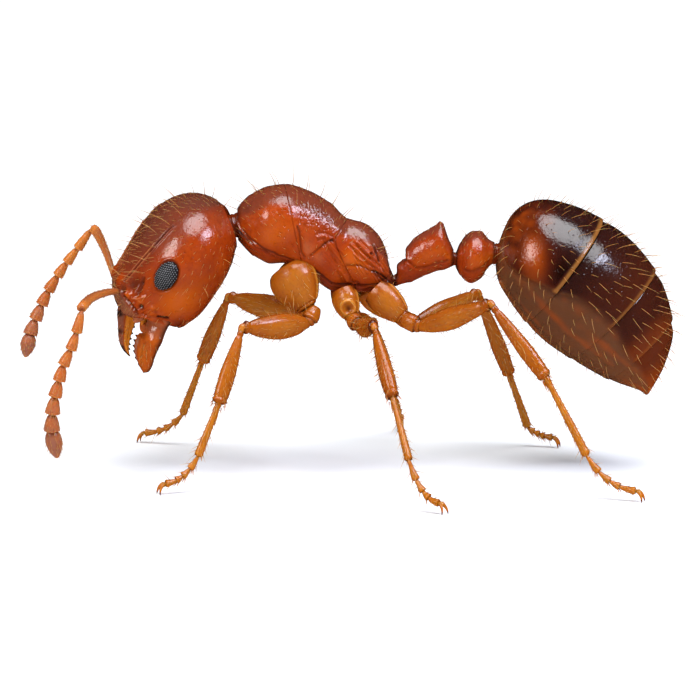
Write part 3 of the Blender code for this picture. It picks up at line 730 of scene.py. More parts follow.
def hairTree():
    # curved tapering hairs over a skin, leaning along its "lie" and thinned by a weight
    tree = bpy.data.node_groups.new("hairs", "GeometryNodeTree")
    given = addInputs(tree, {"Weight": "String", "Spacing": "Float", "Most": "Float", "Length": "Float",
                             "Vary": "Float", "Thickness": "Float", "Lean": "Float", "Stray": "Float",
                             "Bend": "Float", "Seed": "Int", "Finish": "Material", "Sides": "Int",
                             "Steps": "Int"})
    weight = addNode(tree, "GeometryNodeInputNamedAttribute", {"Name": given["Weight"]}, data_type="FLOAT")
    spread = addNode(tree, "GeometryNodeDistributePointsOnFaces", {
        "Mesh": given["Geometry"], "Distance Min": given["Spacing"], "Density Max": given["Most"],
        "Density Factor": weight.outputs["Attribute"], "Seed": given["Seed"]}, distribute_method="POISSON")
    lie = read(tree, "lie", "FLOAT_VECTOR")
    stray = addNode(tree, "FunctionNodeRandomValue", {"Min": (-1, -1, -1), "Max": (1, 1, 1),
                                                      "Seed": given["Seed"]}, data_type="FLOAT_VECTOR")
    up = vector2(tree, "SCALE", spread.outputs["Normal"], math2(tree, "SUBTRACT", 1.0, given["Lean"]))
    aim = vector2(tree, "ADD", up, vector2(tree, "SCALE", lie, given["Lean"]))
    aim = vector2(tree, "ADD", aim, vector2(tree, "SCALE", stray.outputs["Value"], given["Stray"]))
    chance = addNode(tree, "FunctionNodeRandomValue", {2: 0.0, 3: 1.0, "Seed": given["Seed"]})
    shorter = math2(tree, "SUBTRACT", 1.0, math2(tree, "MULTIPLY", chance.outputs[1], given["Vary"]))
    length = math2(tree, "MULTIPLY", math2(tree, "MULTIPLY", given["Length"], shorter),
                   read(tree, "hairLength"))
    curl = vector2(tree, "SCALE", lie, math2(tree, "MULTIPLY", length, given["Bend"]))
    points = store(tree, spread.outputs["Points"], "curl", curl, "FLOAT_VECTOR")
    points = store(tree, points, "rootPlace", read(tree, "unwrap", "FLOAT_VECTOR"), "FLOAT_VECTOR")
    cone = closedCone(tree, given["Sides"], given["Steps"], hairShape["tipRadius"])
    blade = store(tree, cone.outputs["Mesh"], "along", heightOf(tree))
    blade = store(tree, blade, "patch", cone.outputs["UV Map"], "FLOAT_VECTOR", "CORNER")
    turn = turnTo(tree, aim)
    thick = given["Thickness"]
    size = addNode(tree, "ShaderNodeCombineXYZ", {"X": thick, "Y": thick, "Z": length}).outputs[0]
    solid = scatter(tree, points, blade, turn, size)
    along = read(tree, "along")
    swing = vector2(tree, "SCALE", read(tree, "curl", "FLOAT_VECTOR"), math2(tree, "MULTIPLY", along, along))
    bent = shift(tree, solid, swing)
    local = vector2(tree, "SUBTRACT", read(tree, "patch", "FLOAT_VECTOR"), (0.5, 0.5, 0.0))
    local = vector2(tree, "SCALE", local, hairShape["patch"])
    spot = vector2(tree, "ADD", read(tree, "rootPlace", "FLOAT_VECTOR"), local)
    return endTree(tree, store(tree, bent, "OFBake", spot, "FLOAT2", "CORNER"), given["Finish"])


def runTree(name, source, tree, values):
    # runs a node tree on a mesh and keeps the result as a plain mesh
    worker = addToScene(bpy.data.objects.new(name + "Source", source))
    modifier = worker.modifiers.new("grow", "NODES")
    modifier.node_group = tree
    names = {item.name: item.identifier for item in tree.interface.items_tree if item.in_out == "INPUT"}
    for key, value in values.items():
        modifier[names[key]] = value
    bpy.context.view_layer.update()
    grown = worker.evaluated_get(bpy.context.evaluated_depsgraph_get())
    mesh = bpy.data.meshes.new_from_object(grown)
    bpy.data.objects.remove(worker)
    mesh.name = name
    for extra in ("curl", "rootPlace", "patch"):
        if extra in mesh.attributes:
            mesh.attributes.remove(mesh.attributes[extra])
    return addToScene(bpy.data.objects.new(name, mesh))


hairs = hairTree()


def growHair(name, skin, style, slot):
    values = {"Most": hairShape["crowding"] / (style["spacing"] * mm) ** 2, "Finish": goldenHair}
    for key, value in style.items():
        values[key.title()] = value * mm if key in ("spacing", "length", "thickness") else value
    coat = runTree(name, skin.data, hairs, values)
    print(" ", name, "-", len(coat.data.polygons), "faces")
    return settle(coat, slot)


eyePlan = {"place": 0.552, "angle": math.radians(21), "halfLength": 0.15, "halfWidth": 0.105, "dome": 0.07,
           "sunk": 0.006, "rings": 22, "around": 56, "facet": 0.0215, "facetRows": 12, "lensWidth": 0.55,
           "lensHeight": 0.0105}
headDetail = {
    "rings": 200, "around": 420,
    "lobe": (0.8, 72), "socket": (0.838, 56),
    "rim": {-90: 0.832, -60: 0.8, -45: 0.785, -34: 0.79, -21: 0.815, -10: 0.852, 0: 0.872, 11: 0.905,
            28: 0.945, 50: 0.968, 62: 0.966, 90: 0.96},
    "clypeus": {10: 0.86, 22: 0.872, 36: 0.868, 52: 0.86, 69: 0.858, 90: 0.85},
    "nape": (0.03, -1.2, 2.42),
    "lines": (   # places along and round, width, height, lip, shade
        # a negative shade is painted shade in a groove or fold, a positive one a painted highlight along a
        # ridge
        (((0.8, 63), (0.74, 61), (0.63, 58), (0.5, 55), (0.4, 54), (0.26, 53)), 0.009, -0.022, 0.016, -0.95),
        (((0.803, 66), (0.74, 63.6), (0.63, 60.3), (0.52, 57.2), (0.44, 56)), 0.01, 0.006, 0.0, 0.8),
        (((0.795, 60), (0.73, 58.6), (0.62, 55.8), (0.5, 52.8)), 0.009, 0.006, 0.0, 0.7),
        (((0.855, 54), (0.861, 39), (0.87, 24), (0.885, 14)), 0.012, -0.02, 0.008, -0.8),
        (((0.835, 38), (0.81, 31), (0.775, 27), (0.748, 24)), 0.008, 0.012, 0.0, 0.55),
        (((0.812, 29), (0.806, 21), (0.815, 14)), 0.007, 0.01, 0.0, 0.5),
        (((0.885, 12), (0.868, 7), (0.852, -2), (0.823, -13), (0.8, -26)), 0.013, 0.016, -0.012, 0.22),
        (((0.84, 9), (0.838, -1), (0.815, -9)), 0.008, 0.01, 0.0, 0.25),
        (((0.812, -3), (0.788, -8), (0.76, -15)), 0.014, -0.02, 0.008, -1.1),
        (((0.66, 44), (0.74, 37), (0.8, 33)), 0.02, -0.014, 0.006, -0.35)),
    "spots": (   # place, radius, height, shade, tone
        # the warm spots on the sides are painted light, the pale spot at (0.43, 37) is a painted highlight
        # above the eye, and the dark spots in hollows are painted shade
        ((0.829, 45), 0.045, 0.018, 0.05, 0.9), ((0.735, 45), 0.09, -0.018, -0.42, -0.1),
        ((0.775, 50), 0.06, 0.0, -0.3, 0.0), ((0.827, 19), 0.032, -0.022, -1.0, 0.0),
        ((0.805, 26), 0.045, 0.0, 0.0, 0.7), ((0.779, 8), 0.024, 0.02, 0.1, 0.6),
        ((0.813, 4), 0.022, 0.008, 0.05, 0.5), ((0.789, 1), 0.026, -0.008, -0.35, 0.0),
        ((0.75, -30), 0.08, 0.034, -0.62, -0.3), ((0.761, -54), 0.05, 0.01, -0.7, 0.0),
        ((0.723, 30), 0.05, 0.0, 0.2, 0.0), ((0.43, 37), 0.085, -0.004, 0.22, 0.0),
        ((0.815, 74), 0.07, 0.022, 0.05, 0.8), ((0.33, -6), 0.26, 0.0, 0.0, 0.15),
        ((0.66, -4), 0.2, 0.0, 0.0, 0.75), ((0.52, -22), 0.22, 0.0, 0.0, 0.35),
        ((0.34, 20), 0.16, 0.0, 0.0, -0.2), ((0.9, 60), 0.13, 0.0, 0.0, -0.15)),
}


def onBothSides(places):
    return headPlace(*places), headPlace(*[(t, 180 - a) for t, a in places])


def eyeReach(tt, aa, hand):
    angle = eyePlan["angle"] if hand > 0 else math.pi - eyePlan["angle"]
    centre = headPlace((eyePlan["place"], math.degrees(angle)))[0]
    near = headPlace((eyePlan["place"], math.degrees(angle + 0.01)))[0]
    radius = np.linalg.norm(near - centre) / 0.01
    turn = (aa - angle + np.pi) % (2 * np.pi) - np.pi
    return np.hypot((tt - eyePlan["place"]) * headLength / eyePlan["halfLength"],
                    turn * radius / eyePlan["halfWidth"])


def headRim(a):
    # the head shell ends at the mouth's plane or at its drawn rim, whichever comes first
    return np.minimum(crossing(headSurface, a, mouthPoint, mouthOut), keyed(headDetail["rim"], sideAngle(a)))


def buildHead():
    plan = headDetail
    grid, tt, aa = plateGrid(headSurface, plan["rings"], plan["around"], 1e-4, headRim)
    normals = gridNormals(grid)
    rise, shade = np.zeros((2,) + tt.shape)
    for hand in (0, 1):
        lobe = distance(grid, onBothSides((plan["lobe"],))[hand][0])
        rise += 0.012 * bump(lobe, 0.075)
        # painted shade in each antennal socket and in the groove round each eye
        socket = distance(grid, onBothSides((plan["socket"],))[hand][0])
        rise += 0.012 * bump(socket - 0.056, 0.014) - 0.02 * bump(socket, 0.036)
        shade -= 0.55 * bump(socket, 0.042)
        reach = eyeReach(tt, aa, 1 if hand == 0 else -1)
        rise += 0.007 * bump(reach - 1.24, 0.1) - 0.014 * bump(reach - 1.05, 0.06)
        rise -= 0.01 * ramp(1.04, 0.96, reach)
        shade -= 0.5 * bump(reach - 1.04, 0.06)
    more, light, tone = addFeatures(grid, headSurface, plan["lines"], plan["spots"])
    rise, shade = rise + more, shade + light
    toMouth = rimDistance(grid, -1)
    beyond = (tt - keyed(plan["clypeus"], sideAngle(aa))) * headLength
    clypeus = ramp(-0.01, 0.035, beyond) * ramp(6, 16, sideAngle(aa))
    rise += 0.008 * clypeus
    tone -= 0.6 * clypeus
    shade += 0.34 * clypeus
    # painted shade along the mouth's rim
    shade -= 0.3 * bump(toMouth, 0.022)
    cheek = ramp(0.24, 0.08, toMouth) * ramp(34, 20, np.abs(sideAngle(aa) - 24))
    rise += 0.006 * cheek * np.sin(2 * np.pi * sideAngle(aa) / 5.5 + 6 * lattice(grid, 7.0, 5))
    # a hollow at the nape, with painted shade in it
    nape = distance(grid, np.array(plan["nape"]))
    rise += -0.035 * bump(nape, 0.12) + 0.01 * bump(nape - 0.21, 0.03)
    shade -= 0.9 * bump(nape, 0.15)
    d, _ = lineDistance(grid, headPlace((0.05, 90), (0.3, 90), (0.56, 90)))
    rise -= 0.004 * bump(d, 0.01)
    rise += 0.003 * lattice(grid, 5.0, 11) + 0.0012 * lattice(grid, 17.0, 12)
    grid = grid + normals * rise[..., None]
    side = sideAngle(aa)
    # painted light and shade: the sides stay warm while the crown, the underside and the low back end are
    # painted duskier and darker
    crown = ramp(14, 74, side + 12 * lattice(grid, 3.0, 13) + 6 * lattice(grid, 9.0, 14))
    tone -= crown * (0.85 - 0.35 * ramp(0.35, 0.75, tt)) + 0.35 * ramp(-30, -70, side)
    tone -= 0.45 * ramp(0.22, 0.03, tt + 0.03 * lattice(grid, 4.0, 15)) * ramp(-30, 10, side)
    shade -= 0.22 * crown * bump(tt - 0.6, 0.22) + 0.3 * ramp(-35, -75, side)
    normals = gridNormals(grid)
    eyes = np.minimum(eyeReach(tt, aa, 1), eyeReach(tt, aa, -1))
    clear = ramp(1.15, 1.3, eyes) * ramp(0.02, 0.07, toMouth) * ramp(0.14, 0.22, nape)
    lie = headAlong * 0.8 + np.array((0, -0.3, 0.8)) * ramp(25, 60, side)[..., None]
    marks = bareMarks(shade, tone, lie, normals)
    marks["shortHair"] = clear * (0.55 + 0.45 * ramp(-50, 30, side))
    marks["longHair"] = clear * np.clip(0.1 + 0.9 * ramp(38, 60, side) + 0.5 * clypeus
                                        + 0.35 * ramp(-40, -65, side), 0, 1)
    grid, pole = tuck(grid, -1, 0.03, 0.04, -0.4, marks)
    return oneShell("headShell", grid, (headBack, pole), marks)


headSkin = settle(buildHead(), "head", "head")
print("head built:", len(headSkin.data.polygons), "faces")


def eyeSurface(u, v, hand):
    # a point on the eye's dome: u along the head, v across it, both in millimetres
    plan = eyePlan
    angle = plan["angle"] if hand > 0 else math.pi - plan["angle"]
    top = headPlace((plan["place"], math.degrees(angle)))[0]
    near = headPlace((plan["place"], math.degrees(angle + 0.01)))[0]
    ahead = headPlace((plan["place"] + 0.01, math.degrees(angle)))[0]
    turn = plan["halfWidth"] / (np.linalg.norm(near - top) / 0.01)
    normal = unit(np.cross(ahead - top, near - top))
    normal = normal * np.sign(normal[0] * hand)
    share = np.clip(np.hypot(u / plan["halfLength"], v / plan["halfWidth"]), 0, 1)
    skin = headSurface(plan["place"] + u / headLength, angle + v / plan["halfWidth"] * turn)
    return skin + normal * (plan["dome"] * np.sqrt(1 - share ** 2) - plan["sunk"])[..., None], normal


def facetTree():
    # small six-sided domes on the points of a lattice, each turned to face outwards
    tree = bpy.data.node_groups.new("facets", "GeometryNodeTree")
    given = addInputs(tree, {"Width": "Float", "Height": "Float", "Finish": "Material"})
    dome = closedCone(tree, 6, 2, 0.42).outputs["Mesh"]
    height = heightOf(tree)
    level = math2(tree, "SQRT", math2(tree, "MAXIMUM", height, 0.0), 0.0)
    lift = addNode(tree, "ShaderNodeCombineXYZ", {"Z": math2(tree, "SUBTRACT", level, height)}).outputs[0]
    dome = shift(tree, dome, lift)
    # painted highlight: each dome is paler towards its top
    paler = math2(tree, "MULTIPLY", math2(tree, "SUBTRACT", level, 0.72), 1.6)
    dome = store(tree, dome, "shade", paler)
    turn = turnTo(tree, read(tree, "facing", "FLOAT_VECTOR"))
    rows = {"Rotation": turn, "Vector": read(tree, "rowway", "FLOAT_VECTOR")}
    turn = addNode(tree, "FunctionNodeAlignRotationToVector", rows, axis="X", pivot_axis="Z").outputs[0]
    width = given["Width"]
    size = addNode(tree, "ShaderNodeCombineXYZ", {"X": width, "Y": width, "Z": given["Height"]}).outputs[0]
    seats = addNode(tree, "GeometryNodeMeshToPoints", {"Mesh": given["Geometry"]}).outputs[0]
    return endTree(tree, scatter(tree, seats, dome, turn, size), given["Finish"])


def buildEye(name, hand, tree):
    plan = eyePlan
    share = np.sin(np.pi / 2 * np.linspace(0.02, 1, plan["rings"]))[:, None]
    phase = 2 * np.pi * np.arange(plan["around"]) / plan["around"]
    u = share * plan["halfLength"] * np.cos(phase)
    v = share * plan["halfWidth"] * np.sin(phase)
    dome, normal = eyeSurface(u, v, hand)
    edge, _ = eyeSurface(u[-1], v[-1], hand)
    middle = edge.mean(axis=0)
    under = [middle + (edge - middle) * k - normal * sink
             for k, sink in ((1.0, 0.02), (0.9, 0.035), (0.5, 0.04))]
    grid = np.concatenate([dome, np.stack(under)])
    top = eyeSurface(np.array([0.0]), np.array([0.0]), hand)[0][0]
    shell = Shell()
    shell.add(grid, (top, middle - normal * 0.04), evenMarks(grid, shade=-0.5))
    base = settle(shell.build(name), "eye", name.replace("Left", "_left").replace("Right", "_right"))
    rows = np.arange(-plan["facetRows"], plan["facetRows"] + 1)
    cc, rr = np.meshgrid(rows, rows)
    uu = (cc + 0.5 * (rr % 2)) * plan["facet"]
    vv = rr * plan["facet"] * math.sqrt(3) / 2
    inside = np.hypot(uu / plan["halfLength"], vv / plan["halfWidth"]) < 0.97
    uu, vv = uu[inside], vv[inside]
    seats, _ = eyeSurface(uu, vv, hand)
    small = 0.002
    du = eyeSurface(uu + small, vv, hand)[0] - eyeSurface(uu - small, vv, hand)[0]
    dv = eyeSurface(uu, vv + small, hand)[0] - eyeSurface(uu, vv - small, hand)[0]
    facing = unit(np.cross(du, dv))
    facing *= np.sign(facing @ normal)[:, None]
    seatMarks = {"facing": facing, "rowway": dv}
    lenses = meshPiece(name + "Seats", seats - facing * 0.002, [], None, seatMarks, False)
    mesh = lenses.data
    bpy.data.objects.remove(lenses)
    facets = runTree(name + "Facets", mesh, tree, {
        "Width": plan["facet"] * plan["lensWidth"] * mm, "Height": plan["lensHeight"] * mm,
        "Finish": finishes["eye"]})
    settle(facets, "eye")
    return base


facets = facetTree()
for side, hand in (("Left", 1), ("Right", -1)):
    buildEye("eye" + side, hand, facets)
print("eyes built")


jaws = {
    "length": 0.47, "spread": 0.46, "close": 0.24, "gap": 0.004,
    "set": {1: (math.radians(9), math.radians(50), 0.0, 0.0),
            -1: (math.radians(2), math.radians(36), 0.035, 0.045)},
    # outlines either side of the middle line, by place along it, then the half thickness
    "inner": {1: {-0.95: 0.1, -0.5: 0.06, -0.06: 0.09, 0.06: 0.12, 0.17: 0.205, 0.3: 0.228, 0.45: 0.25,
                  0.6: 0.24, 0.72: 0.212,
                  0.82: 0.168, 0.9: 0.115, 0.96: 0.07},
              -1: {-0.3: 0.06, 0.1: 0.06, 0.27: 0.03, 0.5: -0.005, 0.7: -0.012, 0.82: -0.01, 1.04: 0.03}},
    "outer": {1: {-0.95: -0.02, -0.8: 0.12, -0.65: 0.22, -0.5: 0.27, -0.3: 0.222, -0.1: 0.158, 0.1: 0.115,
                  0.3: 0.09, 0.5: 0.066, 0.75: 0.045, 0.88: 0.015, 0.96: -0.02},
              -1: {-0.3: 0.3, 0.17: 0.285, 0.4: 0.245, 0.72: 0.185, 0.92: 0.09, 1.04: -0.03}},
    "swell": {-0.95: 0.06, -0.5: 0.085, 0.0: 0.08, 0.3: 0.058, 0.7: 0.04, 1.0: 0.018},
    "reach": {1: (-0.95, 0.96), -1: (-0.3, 1.04)}, "flip": {1: 1, -1: -1},
    "teeth": (0.27, 0.41, 0.55, 0.67, 0.79, 0.89), "toothLength": 0.036, "toothWidth": 0.045,
    "rings": 170, "around": 96,
}


def jawFrame(hand):
    drop, turn, ahead, above = jaws["set"][hand]
    root = (mouthPoint + headSide * hand * jaws["spread"] + mouthOut * (jaws["gap"] + 0.03 + ahead)
            + headFace * above)
    forward = np.array(Matrix.Rotation(drop, 3, Vector(headSide)) @ Vector(mouthOut))
    forward = unit(forward - headSide * hand * jaws["close"])
    outward = unit(headSide * hand * math.sin(turn) - headFace * math.cos(turn))
    outward = unit(outward - forward * (outward @ forward))
    return root, forward, outward, np.cross(forward, outward)


def buildJaw(name, hand):
    root, forward, outward, thick = jawFrame(hand)
    outward = outward * jaws["flip"][hand]
    first, last = jaws["reach"][hand]
    k = np.linspace(0, 1, jaws["rings"])
    t = first + (last - first) * k
    low, high = -keyed(jaws["inner"][hand], t), keyed(jaws["outer"][hand], t)
    phase = 2 * np.pi * np.arange(jaws["around"]) / jaws["around"]
    edge = np.clip(-np.cos(phase), 0, 1) ** 6
    tooth = np.zeros(len(t))
    for place in jaws["teeth"]:
        lean = (t - place) / jaws["toothWidth"]
        tooth = np.maximum(tooth, np.where(lean < 0, 1 + lean * 0.9, 1 - lean * 1.9))
    tooth = np.clip(tooth, 0, 1) * ramp(0.19, 0.24, t)
    taper = blunt(k, 0.06, 0.05, 0.001)
    half = (high - low) / 2 * taper
    c, s = np.cos(phase)[None], np.sin(phase)[None]
    swell = (keyed(jaws["swell"], t) * taper)[:, None] * (1 - 0.55 * np.clip(-c, 0, 1) ** 2)
    across = ((low + high) / 2)[:, None] + half[:, None] * c - (tooth * jaws["toothLength"])[:, None] * edge
    ridge = 0.01 * bump(c - 0.35, 0.16) * (s > 0) * ramp(0.05, 0.2, t)[:, None]
    groove = 0.008 * bump(c - 0.02, 0.12) * ramp(0.05, 0.2, t)[:, None] * ramp(0.9, 0.7, t)[:, None]
    lift = s * swell + np.sign(s) * (ridge - groove)
    grid = (root + forward * (jaws["length"] * t)[:, None, None] + outward * across[..., None]
            + thick * lift[..., None])
    if hand > 0:       # the hinge end runs in under the cheek
        grid = grid - headSide * 0.2 * ramp(0.1, -0.4, t)[:, None, None]
    grid = grid + gridNormals(grid) * (0.002 * lattice(grid, 14.0, 21))[..., None]
    toothed = np.clip(-c, 0, 1) ** 4 * ramp(0.2, 0.3, t)[:, None]
    blade, tip = ramp(0.12, 0.3, t)[:, None], ramp(0.86, 1.0, k)[:, None]
    patchy = 0.6 + 0.8 * lattice(grid, 16.0, 22)
    dark = -1.7 * toothed * ramp(0.1, 0.45, tooth)[:, None] - 0.2 * np.clip(-c, 0, 1) ** 8 * blade
    # painted shade in the groove along the blade; the outer edge is drawn darker
    dark = dark - (0.7 if hand > 0 else 0.35) * np.clip(c, 0, 1) ** 7 - 0.2 * bump(c - 0.02, 0.12) * blade
    tone = 0.35 * blade * bump(c - 0.1, 0.45) - 0.5 * tip
    if hand > 0:
        dark = dark + 0.5 * bump(c + 0.66, 0.22) * blade - 0.35 * tip
        tone = tone - 0.8 * bump(c + 0.66, 0.22) * blade - 0.45 * ramp(0.05, -0.2, t)[:, None]
    else:
        outside = ramp(0.5, 0.8, c)
        dark = dark - 0.5 * outside * ramp(0.3, 0.9, patchy) - 0.6 * ramp(0.9, 1.0, k)[:, None]
        tone = tone + 0.85 * (1 - outside) - 0.7 * outside
    normals = gridNormals(grid)
    marks = bareMarks(dark + 0 * lift, tone + 0 * lift, forward + outward * 0.5, normals)
    marks["shortHair"] = (ramp(-0.2, 0.5, c) * ramp(0.0, 0.1, t)[:, None]
                          * ramp(0.9, 0.7, t)[:, None])
    shell = Shell()
    ends = [root + forward * jaws["length"] * (t[e] + 0.005 * w) + outward * (low[e] + high[e]) / 2
            for e, w in ((0, -1), (-1, 1))]
    shell.add(grid, ends, marks)
    node = "mandible_left" if hand > 0 else "mandible_right"
    return settle(shell.build(name), "mandible", node)


jawSkins = [buildJaw("jawLeft", 1), buildJaw("jawRight", -1)]


def buildMouthparts():
    # the upper lip between the jaws, the lower lip that fills the mouth, and pairs of jointed palps
    shell = Shell()
    for lift, back, reach, size, thinner, light in ((0.1, 0.02, 0.05, 0.12, 0.72, 0.35),
                                                    (-0.09, 0.06, 0.075, 0.19, 0.3, 0.1)):
        centre = mouthPoint + headFace * lift - mouthOut * back
        k = np.linspace(0, 1, 30)
        path = centre + mouthOut * (reach * k)[:, None] - headFace * (0.05 * k ** 2)[:, None]
        radii = size * blunt(k, 0.2, 0.5, 0.001)
        grid, _, _ = sweep(path, radii, 40, 1.0, headSide)
        middle = path[:, None]
        flat = grid - middle
        flat = flat - headFace * (flat @ headFace)[..., None] * thinner
        shell.add(middle + flat, (path[0], path[-1]), evenMarks(grid, shade=light, tone=-0.3))
    for hand in (1, -1):
        for reach, out, down in ((0.16, 0.13, 0.17), (0.12, 0.05, 0.22)):
            start = mouthPoint + headSide * hand * out - headFace * (down - 0.1) - mouthOut * 0.02
            bend = start + mouthOut * reach * 0.6 - headFace * 0.03 + headSide * hand * 0.02
            end = start + mouthOut * reach - headFace * 0.09 + headSide * hand * 0.01
            path = smoothPath((start, bend, end), 36)
            k = np.linspace(0, 1, 36)
            radii = 0.02 * (0.8 + 0.2 * np.cos(k * 4 * np.pi)) * blunt(k, 0.05, 0.16)
            grid, _, _ = sweep(path, radii, 14)
            shell.add(grid, (path[0], path[-1]), evenMarks(grid, shade=0.1, tone=1.0))
        start = mouthPoint + headSide * hand * 0.05 + headFace * 0.035 - mouthOut * 0.05
        end = mouthPoint + headSide * hand * 0.06 + headFace * 0.05 + mouthOut * 0.09
        path = smoothPath((start, (start + end) / 2 + headFace * 0.008, end), 30)
        k = np.linspace(0, 1, 30)
        grid, _, _ = sweep(path, 0.03 * blunt(k, 0.1, 0.5), 20)
        shell.add(grid, (path[0], path[-1]), evenMarks(grid, shade=0.05, tone=1.0))
    return settle(shell.build("mouthparts"), "mandible")


buildMouthparts()
print("jaws built")


scapes = {
    "left": ((0.285, -2.303, 1.8), (0.42, -2.384, 1.815), (0.68, -2.525, 1.8), (0.86, -2.612, 1.735),
             (0.9, -2.62, 1.7)),
    "right": ((-0.225, -2.378, 1.92), (-0.42, -2.44, 2.055), (-0.68, -2.52, 2.18),
              (-0.84, -2.58, 2.255), (-0.9, -2.626, 2.285)),
}
flagella = {
    "left": ((0.9, -2.622, 1.68), (0.92, -2.672, 1.479), (0.94, -2.729, 1.313), (0.95, -2.803, 1.163),
             (0.96, -2.844, 1.009), (0.96, -2.886, 0.853), (0.95, -2.913, 0.683), (0.93, -2.919, 0.51),
             (0.88, -2.874, 0.233)),
    "right": ((-0.9, -2.651, 2.248), (-0.93, -2.781, 2.065), (-0.95, -2.894, 1.918), (-0.96, -2.989, 1.78),
              (-0.96, -3.085, 1.625), (-0.95, -3.154, 1.481), (-0.93, -3.221, 1.33), (-0.9, -3.272, 1.181),
              (-0.84, -3.317, 0.961)),
}
antennaDetail = {
    "scapeRadii": {0.0: 0.028, 0.05: 0.024, 0.1: 0.03, 0.5: 0.04, 0.85: 0.05, 0.96: 0.052, 1.0: 0.046},
    "segmentRadii": (0.054, 0.056, 0.059, 0.063, 0.068, 0.073, 0.079, 0.082),
    "cup": {0.0: 0.34, 0.1: 0.4, 0.2: 0.56, 0.38: 0.76, 0.62: 0.9, 0.85: 1.0, 0.94: 0.97, 1.0: 0.78},
    "first": {0.0: 0.34, 0.08: 0.4, 0.16: 0.58, 0.38: 0.76, 0.7: 0.92, 0.9: 1.0, 1.0: 0.82},
    "last": {0.0: 0.36, 0.1: 0.62, 0.25: 0.92, 0.45: 1.0, 0.62: 0.9, 0.78: 0.68, 0.91: 0.4, 1.0: 0.18},
}


def buildAntenna(hand):
    plan = antennaDetail
    k = np.linspace(0, 1, 96)
    base, second = np.array(scapes[hand][0]), np.array(scapes[hand][1])
    path = smoothPath((base - (second - base) * 0.4,) + scapes[hand][1:], 96)
    ball = 0.034 * np.sqrt(np.clip(1 - ((k - 0.065) / 0.045) ** 2, 0, 1))
    radii = np.maximum(keyed(plan["scapeRadii"], k), ball) * blunt(k, 0.02, 0.035)
    grid, normals, phase = sweep(path, radii, 36, 0.92)
    # painted shade: the scape is darker at its base in the socket and on its top and underside than on its
    # flanks
    shade = -0.55 * ramp(0.1, 0.02, k) - 0.35 * ramp(0.95, 1.0, k)
    shade = shade[:, None] - 0.42 * np.abs(normals[..., 2]) ** 2 - 0.26 + 0.5 * bump(k - 0.93, 0.05)[:, None]
    along = unit(np.gradient(path, axis=0))[:, None] * np.ones(grid.shape)
    marks = {"shade": shade, "tone": 0.45 + 0 * phase, "lie": along,
             "shortHair": ramp(0.08, 0.14, k)[:, None] + 0 * phase,
             "hairLength": 1.0 + 0 * phase}
    shell = Shell()
    shell.add(grid, (path[0], path[-1]), marks)
    scape = settle(shell.build("scape" + hand.title()), "antenna", "scape_" + hand)
    shell = Shell()
    ends = [np.array(p) for p in flagella[hand]]
    count = len(plan["segmentRadii"])
    for i in range(count):
        before = ends[i] - ends[i - 1] if i else ends[1] - ends[0]
        straight = ends[i + 1] - ends[i]
        after = ends[i + 2] - ends[i + 1] if i + 2 < len(ends) else straight
        k = np.linspace(0, 1, 54)
        bow = unit(before)[None] - unit(after)[None]
        path = (ends[i] - straight * 0.12 + straight * 1.12 * k[:, None]
                + bow * 0.006 * (k * (1 - k) * 4)[:, None])
        profile = plan["last"] if i == count - 1 else plan["first"] if i == 0 else plan["cup"]
        ring = 0.03 * bump(k - 0.91, 0.03) - 0.03 * bump(k - 0.84, 0.03) if i < count - 1 else 0 * k
        radii = plan["segmentRadii"][i] * (keyed(profile, k) + ring)
        radii = radii * blunt(k, 0.04, 0.05) * (1.0 if hand == "left" else 0.94)
        grid, normals, phase = sweep(path, radii, 32)
        tail = 0.55 if i == count - 1 else 0.0
        dull = -0.14 * (i >= count - 2)
        shade = (-0.4 * ramp(0.3, 0.1, k) + 0.3 * bump(k - 0.95, 0.06) * (i < count - 1)
                 - 0.12 * bump(k - 0.82, 0.05) * (i < count - 1) + tail * ramp(0.8, 1.0, k) + dull)
        tone = (0.75 if hand == "right" else 0.35) * max(0.0, 1 - i / 5) - 0.6 * max(0.0, (i - 2) / 5)
        along = unit(straight) * np.ones(grid.shape)
        # painted shade: each segment's top and underside are darker than its flanks
        marks = {"shade": shade[:, None] - 0.18 * np.abs(normals[..., 2]) ** 3 + 0 * phase, "lie": along,
                 "tone": tone + 0.25 * lattice(grid, 22.0, 24),
                 "shortHair": ramp(0.05, 0.2, k)[:, None] + 0 * phase, "hairLength": 1.0 + 0 * phase}
        shell.add(grid, (path[0], path[-1]), marks)
    lash = settle(shell.build("flagellum" + hand.title()), "antenna", "flagellum_" + hand)
    return scape, lash


antennaSkins = {hand: buildAntenna(hand) for hand in ("left", "right")}
print("antennae built")


